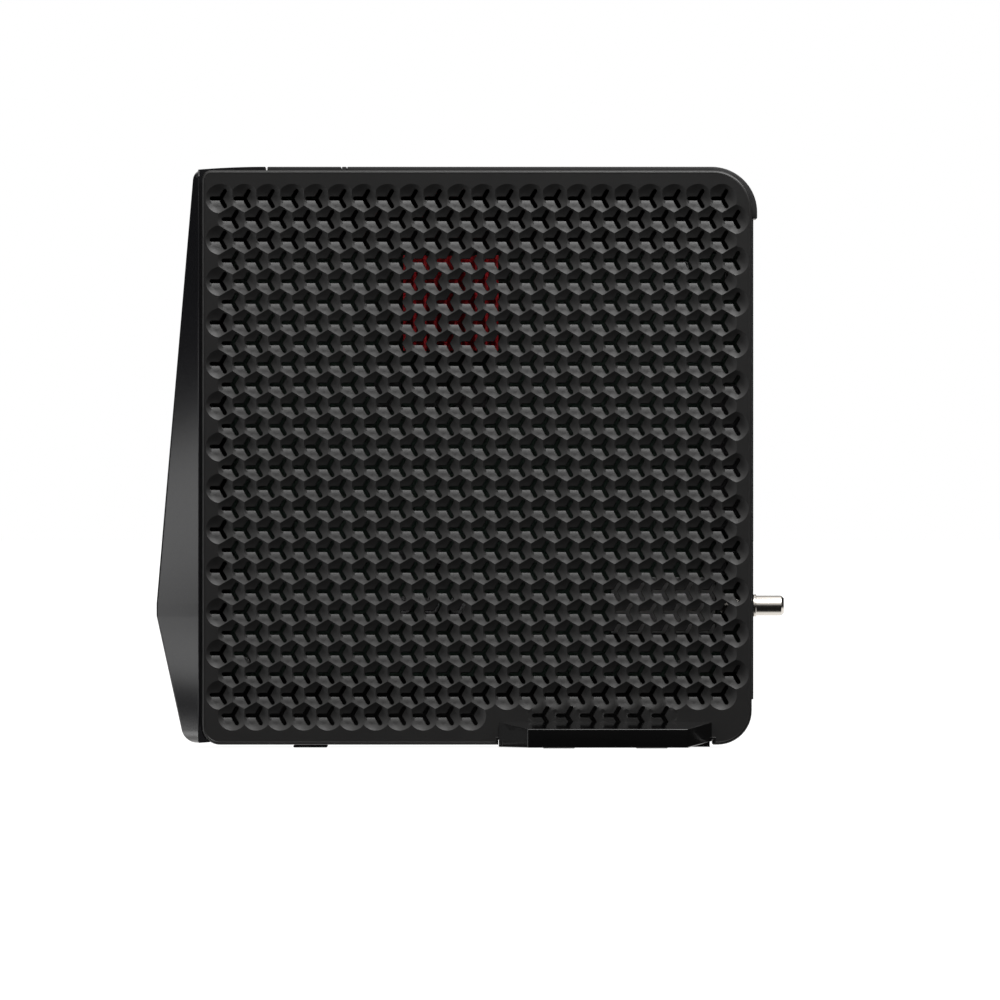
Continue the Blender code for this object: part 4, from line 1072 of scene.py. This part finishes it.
def nose_chin():
    """The nose's lowest part, which runs back under the round front corners of the covers."""
    end = COVER_FRONT + CHIN_LENGTH
    turn = CORNER_FRONT_LOW + GAP
    centre = Vector((COVER_FRONT + CORNER_FRONT_LOW, COVER_LIFT + CORNER_FRONT_LOW))
    outline = [Vector((NOSE_ROOT, NOSE_LOW)), Vector((end, NOSE_LOW))]
    for step in range(CHIN_STEPS + 1):
        outline.append(centre - polar(math.radians(90 - 90 * step / CHIN_STEPS), turn))
    outline = [place for place in outline if NOSE_ROOT <= place.x <= end and place.y >= NOSE_LOW]
    outline.append(Vector((NOSE_ROOT, centre.y)))
    return prism(outline, -COVER_FACE + CHIN_INSET, COVER_FACE - CHIN_INSET, "Y")


def lens_window():
    """The opening for the lens, with a gap all round it."""
    low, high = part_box("status_lens")
    half = (high.y - low.y) / 2 + GAP
    length = (high.z - low.z) / 2 + GAP
    window = box_shape((-NOSE_WALL, -half, -length), (2 * NOSE_WALL, half, length))
    window.transform(slant_frame())
    return window


def nose():
    """The front cover: its shell, the rim that enters the case, and the tongue along the top."""
    added = [nose_rim(), nose_tongue(), nose_chin()]
    item = carve("nose_shell", nose_block(), added, [nose_hollow(), lens_window()])
    settle(item, ["front_cover"], "case", "nose_plastic", NOSE_SMOOTH)
    keep_flats(item, NOSE_SMOOTH)


# ---- stand ----

STAND_LIFT = 0.4 * MM
STAND_INNER_TALL = 11.0 * MM
STAND_OUTER_TALL = 8.2 * MM
STAND_TAPER_FRONT = 12.8 * MM
STAND_TAPER_REAR = 10.8 * MM
STAND_TAIL = 10.0 * MM
STAND_TAIL_RISE = 2.6 * MM
STAND_TAIL_DRAW = 0.2 * MM
STAND_EDGE = 1.1 * MM
STAND_SHARP = 20
STAND_SMOOTH = 35
BRIDGE_TOP = COVER_LIFT + NOTCH_TALL - GAP
BRIDGE_INSET = 1.0 * MM
BRIDGE_LIFT = STAND_LIFT + 0.15 * MM
BRIDGE_OVERLAP = 3.0 * MM
SCREW_RECESS = 1.8 * MM
SCREW_HOLE_RADIUS = 1.6 * MM
SCREW_HOLE_DEEP = 9.0 * MM
SCREW_RECESS_SIDES = 32
SCREW_HOLE_SIDES = 24


def stand_wing(side):
    """One side of the stand, with soft edges and an underside that rises at the tail."""
    inner = COVER_FACE + GAP
    outer = STAND_BOX[1].y
    front, rear = STAND_BOX[0].x, STAND_BOX[1].x
    low = STAND_LIFT
    stations = [
        (front, front + STAND_TAPER_FRONT, low),
        (rear - STAND_TAIL, rear - STAND_TAPER_REAR - STAND_TAIL_DRAW, low),
        (rear, rear - STAND_TAPER_REAR, low + STAND_TAIL_RISE),
    ]
    rings = []
    for inner_x, outer_x, under in stations:
        outer_under = low + STAND_TAIL_DRAW if under > low else low
        rings.append([
            (inner_x, side * inner, under),
            (outer_x, side * outer, outer_under),
            (outer_x, side * outer, low + STAND_OUTER_TALL),
            (inner_x, side * inner, low + STAND_INNER_TALL),
        ])
    shape = loft(rings)
    merge_flats(shape)
    bevel_edges(shape, STAND_EDGE, STAND_SHARP)
    return shape


def hole_up(x, y, radius, depth, sides):
    """The shape of a round hole from the floor up."""
    shape = turned([(0, 0), (depth, 0), (depth, radius), (0, radius)], (0, 0), sides)
    shape.transform(Matrix.Translation((x, y, 0)) @ Matrix.Rotation(math.radians(-90), 4, "Y"))
    return shape


def stand():
    """Two glossy wings joined by a bridge under the case, with seats for the screws and pads."""
    reach = COVER_FACE + BRIDGE_OVERLAP
    front, rear = STAND_BOX[0].x + BRIDGE_INSET, STAND_BOX[1].x - BRIDGE_INSET
    bridge = box_shape((front, -reach, BRIDGE_LIFT), (rear, reach, BRIDGE_TOP))
    holes = []
    for index in range(1, 5):
        low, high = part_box(f"stand_screw_{index}")
        x, y = (low.x + high.x) / 2, (low.y + high.y) / 2
        holes.append(hole_up(x, y, (high.x - low.x) / 2 + GAP, SCREW_RECESS, SCREW_RECESS_SIDES))
        holes.append(hole_up(x, y, SCREW_HOLE_RADIUS, SCREW_HOLE_DEEP, SCREW_HOLE_SIDES))
        low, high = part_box(f"stand_pad_{index}")
        holes.append(box_shape((low.x - GAP, low.y - GAP, -MM), (high.x + GAP, high.y + GAP, high.z + GAP)))
    item = carve("stand_wings", stand_wing(-1), [stand_wing(1), bridge], holes)
    settle(item, ["stand"], "case", "stand_plastic", STAND_SMOOTH)
    keep_flats(item, STAND_SMOOTH)


# ---- pieces refined from their CAD shape ----

SPINE_CORNER = 20.0 * MM
SPINE_STEPS = 20
SPINE_EDGE = 0.45 * MM
SPINE_SMOOTH = 24
PAD_EDGE = 0.4 * MM


def refined(node, width, body="case"):
    """A piece with the shape of its CAD node and softened edges."""
    shape = bmesh.new()
    shape.from_mesh(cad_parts[node].data)
    shape.transform(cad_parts[node].matrix_world)
    bmesh.ops.remove_doubles(shape, verts=shape.verts, dist=WELD)
    merge_flats(shape)
    bevel_edges(shape, width)
    item = mesh_piece(f"{node}_body", shape)
    settle(item, [node], body, SLOTS[node])
    keep_flats(item, SMOOTH)


def spine():
    """The strip along the top that bends round the rear corner and ends in a step."""
    low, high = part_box("spine")
    floor = high.z - BAND_THICK
    inner = high.x - BAND_THICK
    outline = rounded([
        (low.x, floor, 0),
        (inner, floor, SPINE_CORNER - BAND_THICK),
        (inner, low.z, 0),
        (high.x, low.z, 0),
        (high.x, high.z, SPINE_CORNER),
        (low.x, high.z, 0),
    ], SPINE_STEPS)
    shape = prism(outline, -HALF_BAND, HALF_BAND, "Y")
    bevel_edges(shape, SPINE_EDGE)
    settle(mesh_piece("spine_band", shape), ["spine"], "case", "band_plastic", SPINE_SMOOTH)


def refined_pieces():
    """The pieces whose CAD shape only needs softer edges, each with the width of its edge."""
    for node, width in (
        ("key_guide", 0.3 * MM),
        ("rear_panel", 0.35 * MM),
        ("ethernet_jack", 0.3 * MM),
        ("dc_jack", 0.35 * MM),
        ("front_foot", 0.6 * MM),
        ("heat_sink", 0.25 * MM),
        ("main_chip", 0.3 * MM),
        ("memory_chip_1", 0.15 * MM),
        ("memory_chip_2", 0.15 * MM),
        ("flash_chip", 0.15 * MM),
        ("tuner_shield", 0.5 * MM),
        ("key_switch", 0.2 * MM),
        ("power_switch", 0.3 * MM),
        ("reset_switch", 0.2 * MM),
        ("status_lens", 0.2 * MM),
    ):
        refined(node, width)
    for index in range(1, 5):
        refined(f"stand_pad_{index}", PAD_EDGE)
    refined("top_key", 0.5 * MM, body="top_key")
    refined("power_key", 0.4 * MM, body="power_key")


# ---- connectors ----

COAX_SIDES = 96
COAX_SMOOTH = 20
COAX_CHAMFER = 1.1 * MM
COAX_ROOT_CHAMFER = 1.0 * MM
COAX_SHOULDER = 0.5 * MM
COAX_SHOULDER_DROP = 0.08 * MM
COAX_MOUTH_ROUND = 0.1 * MM
COAX_LIP = 0.15 * MM
COAX_LIP_SHARE = 0.9
COAX_BORE_START = 0.4 * MM
COLLAR_PROUD = 0.55 * MM
COLLAR_EDGE = 0.2 * MM

WIRES = 8
WIRE_HALF_WIDTH = 0.2 * MM
WIRE_THICK = 0.35 * MM
WIRE_BEND = 2.0 * MM
WIRE_TIP = 0.6 * MM
WIRE_TIP_RISE = 0.1 * MM
WIRE_END = 0.3 * MM


def coax_barrel():
    """The barrel with its chamfered mouth."""
    low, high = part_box("coax_barrel")
    centre = ((low.y + high.y) / 2, (low.z + high.z) / 2)
    radius = (high.z - low.z) / 2
    insulator_low, insulator_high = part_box("coax_insulator")
    bore = insulator_high.z - centre[1] + GAP / 3
    start = insulator_low.x - GAP
    profile = [
        (low.x, 0),
        (low.x, radius - COAX_ROOT_CHAMFER),
        (low.x + COAX_ROOT_CHAMFER, radius),
        (high.x - COAX_CHAMFER - COAX_SHOULDER, radius),
        (high.x - COAX_CHAMFER, radius - COAX_SHOULDER_DROP),
        (high.x - COAX_LIP, radius - COAX_CHAMFER * COAX_LIP_SHARE),
        (high.x, radius - COAX_CHAMFER),
        (high.x - COAX_MOUTH_ROUND, bore + COAX_MOUTH_ROUND),
        (high.x - COAX_BORE_START, bore),
        (start, bore),
        (start, 0),
    ]
    barrel = mesh_piece("coax_shell", turned(profile, centre, COAX_SIDES))
    settle(barrel, ["coax_barrel"], "case", "nickel", COAX_SMOOTH)
    return centre, radius


def coax_collar(centre, radius):
    """The slight collar that holds the barrel in the panel."""
    low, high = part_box("coax_nut")
    inner = radius + GAP / 3
    outer = radius + COLLAR_PROUD
    profile = [
        (low.x, inner),
        (low.x, outer - COLLAR_EDGE),
        (low.x + COLLAR_EDGE, outer),
        (high.x - COLLAR_EDGE, outer),
        (high.x, outer - COLLAR_EDGE),
        (high.x, inner + COLLAR_EDGE),
        (high.x - COLLAR_EDGE, inner),
    ]
    collar = mesh_piece("coax_collar", turned(profile, centre, COAX_SIDES))
    settle(collar, ["coax_nut"], "case", "nickel", COAX_SMOOTH)


def wire_path(low, high):
    """The outline, as (x, y), of a wire that runs to the mouth of its socket and bends back."""
    bend = high.x - WIRE_BEND
    tip = high.x - WIRE_TIP
    return [
        Vector((low.x, high.y)),
        Vector((low.x, high.y - WIRE_THICK)),
        Vector((bend, low.y)),
        Vector((tip, low.y + WIRE_TIP_RISE)),
        Vector((high.x, high.y - WIRE_END)),
        Vector((high.x, high.y)),
        Vector((tip - 2 * WIRE_TIP_RISE, low.y + WIRE_THICK + WIRE_TIP_RISE)),
        Vector((bend, low.y + WIRE_THICK)),
    ]


def contact_combs():
    """Eight bent gold wires in each network socket."""
    for index in range(1, 5):
        node = f"ethernet_contacts_{index}"
        low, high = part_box(node)
        wires = bmesh.new()
        for wire in range(WIRES):
            z = low.z + (high.z - low.z) * (wire + 0.5) / WIRES
            one = prism(wire_path(low, high), z - WIRE_HALF_WIDTH, z + WIRE_HALF_WIDTH, "Z")
            mesh = bpy.data.meshes.new("wire")
            one.to_mesh(mesh)
            one.free()
            wires.from_mesh(mesh)
            bpy.data.meshes.remove(mesh)
        settle(mesh_piece(f"contact_wires_{index}", wires), [node], "case", "gold")


# ---- build ----

for name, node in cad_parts.items():
    node.data.materials.clear()
    node.data.materials.append(FINISHES[SLOTS[name]])

make_camera()
make_stage()
for side, cover in ((-1, "left"), (1, "right")):
    item = vented_cover(f"{cover}_vented_cover", side)
    settle(item, [f"{cover}_side_cover"], "case", "cover_plastic", COVER_SMOOTH)
    keep_flats(item, COVER_SMOOTH)
nose()
stand()
spine()
refined_pieces()
coax_collar(*coax_barrel())
contact_combs()
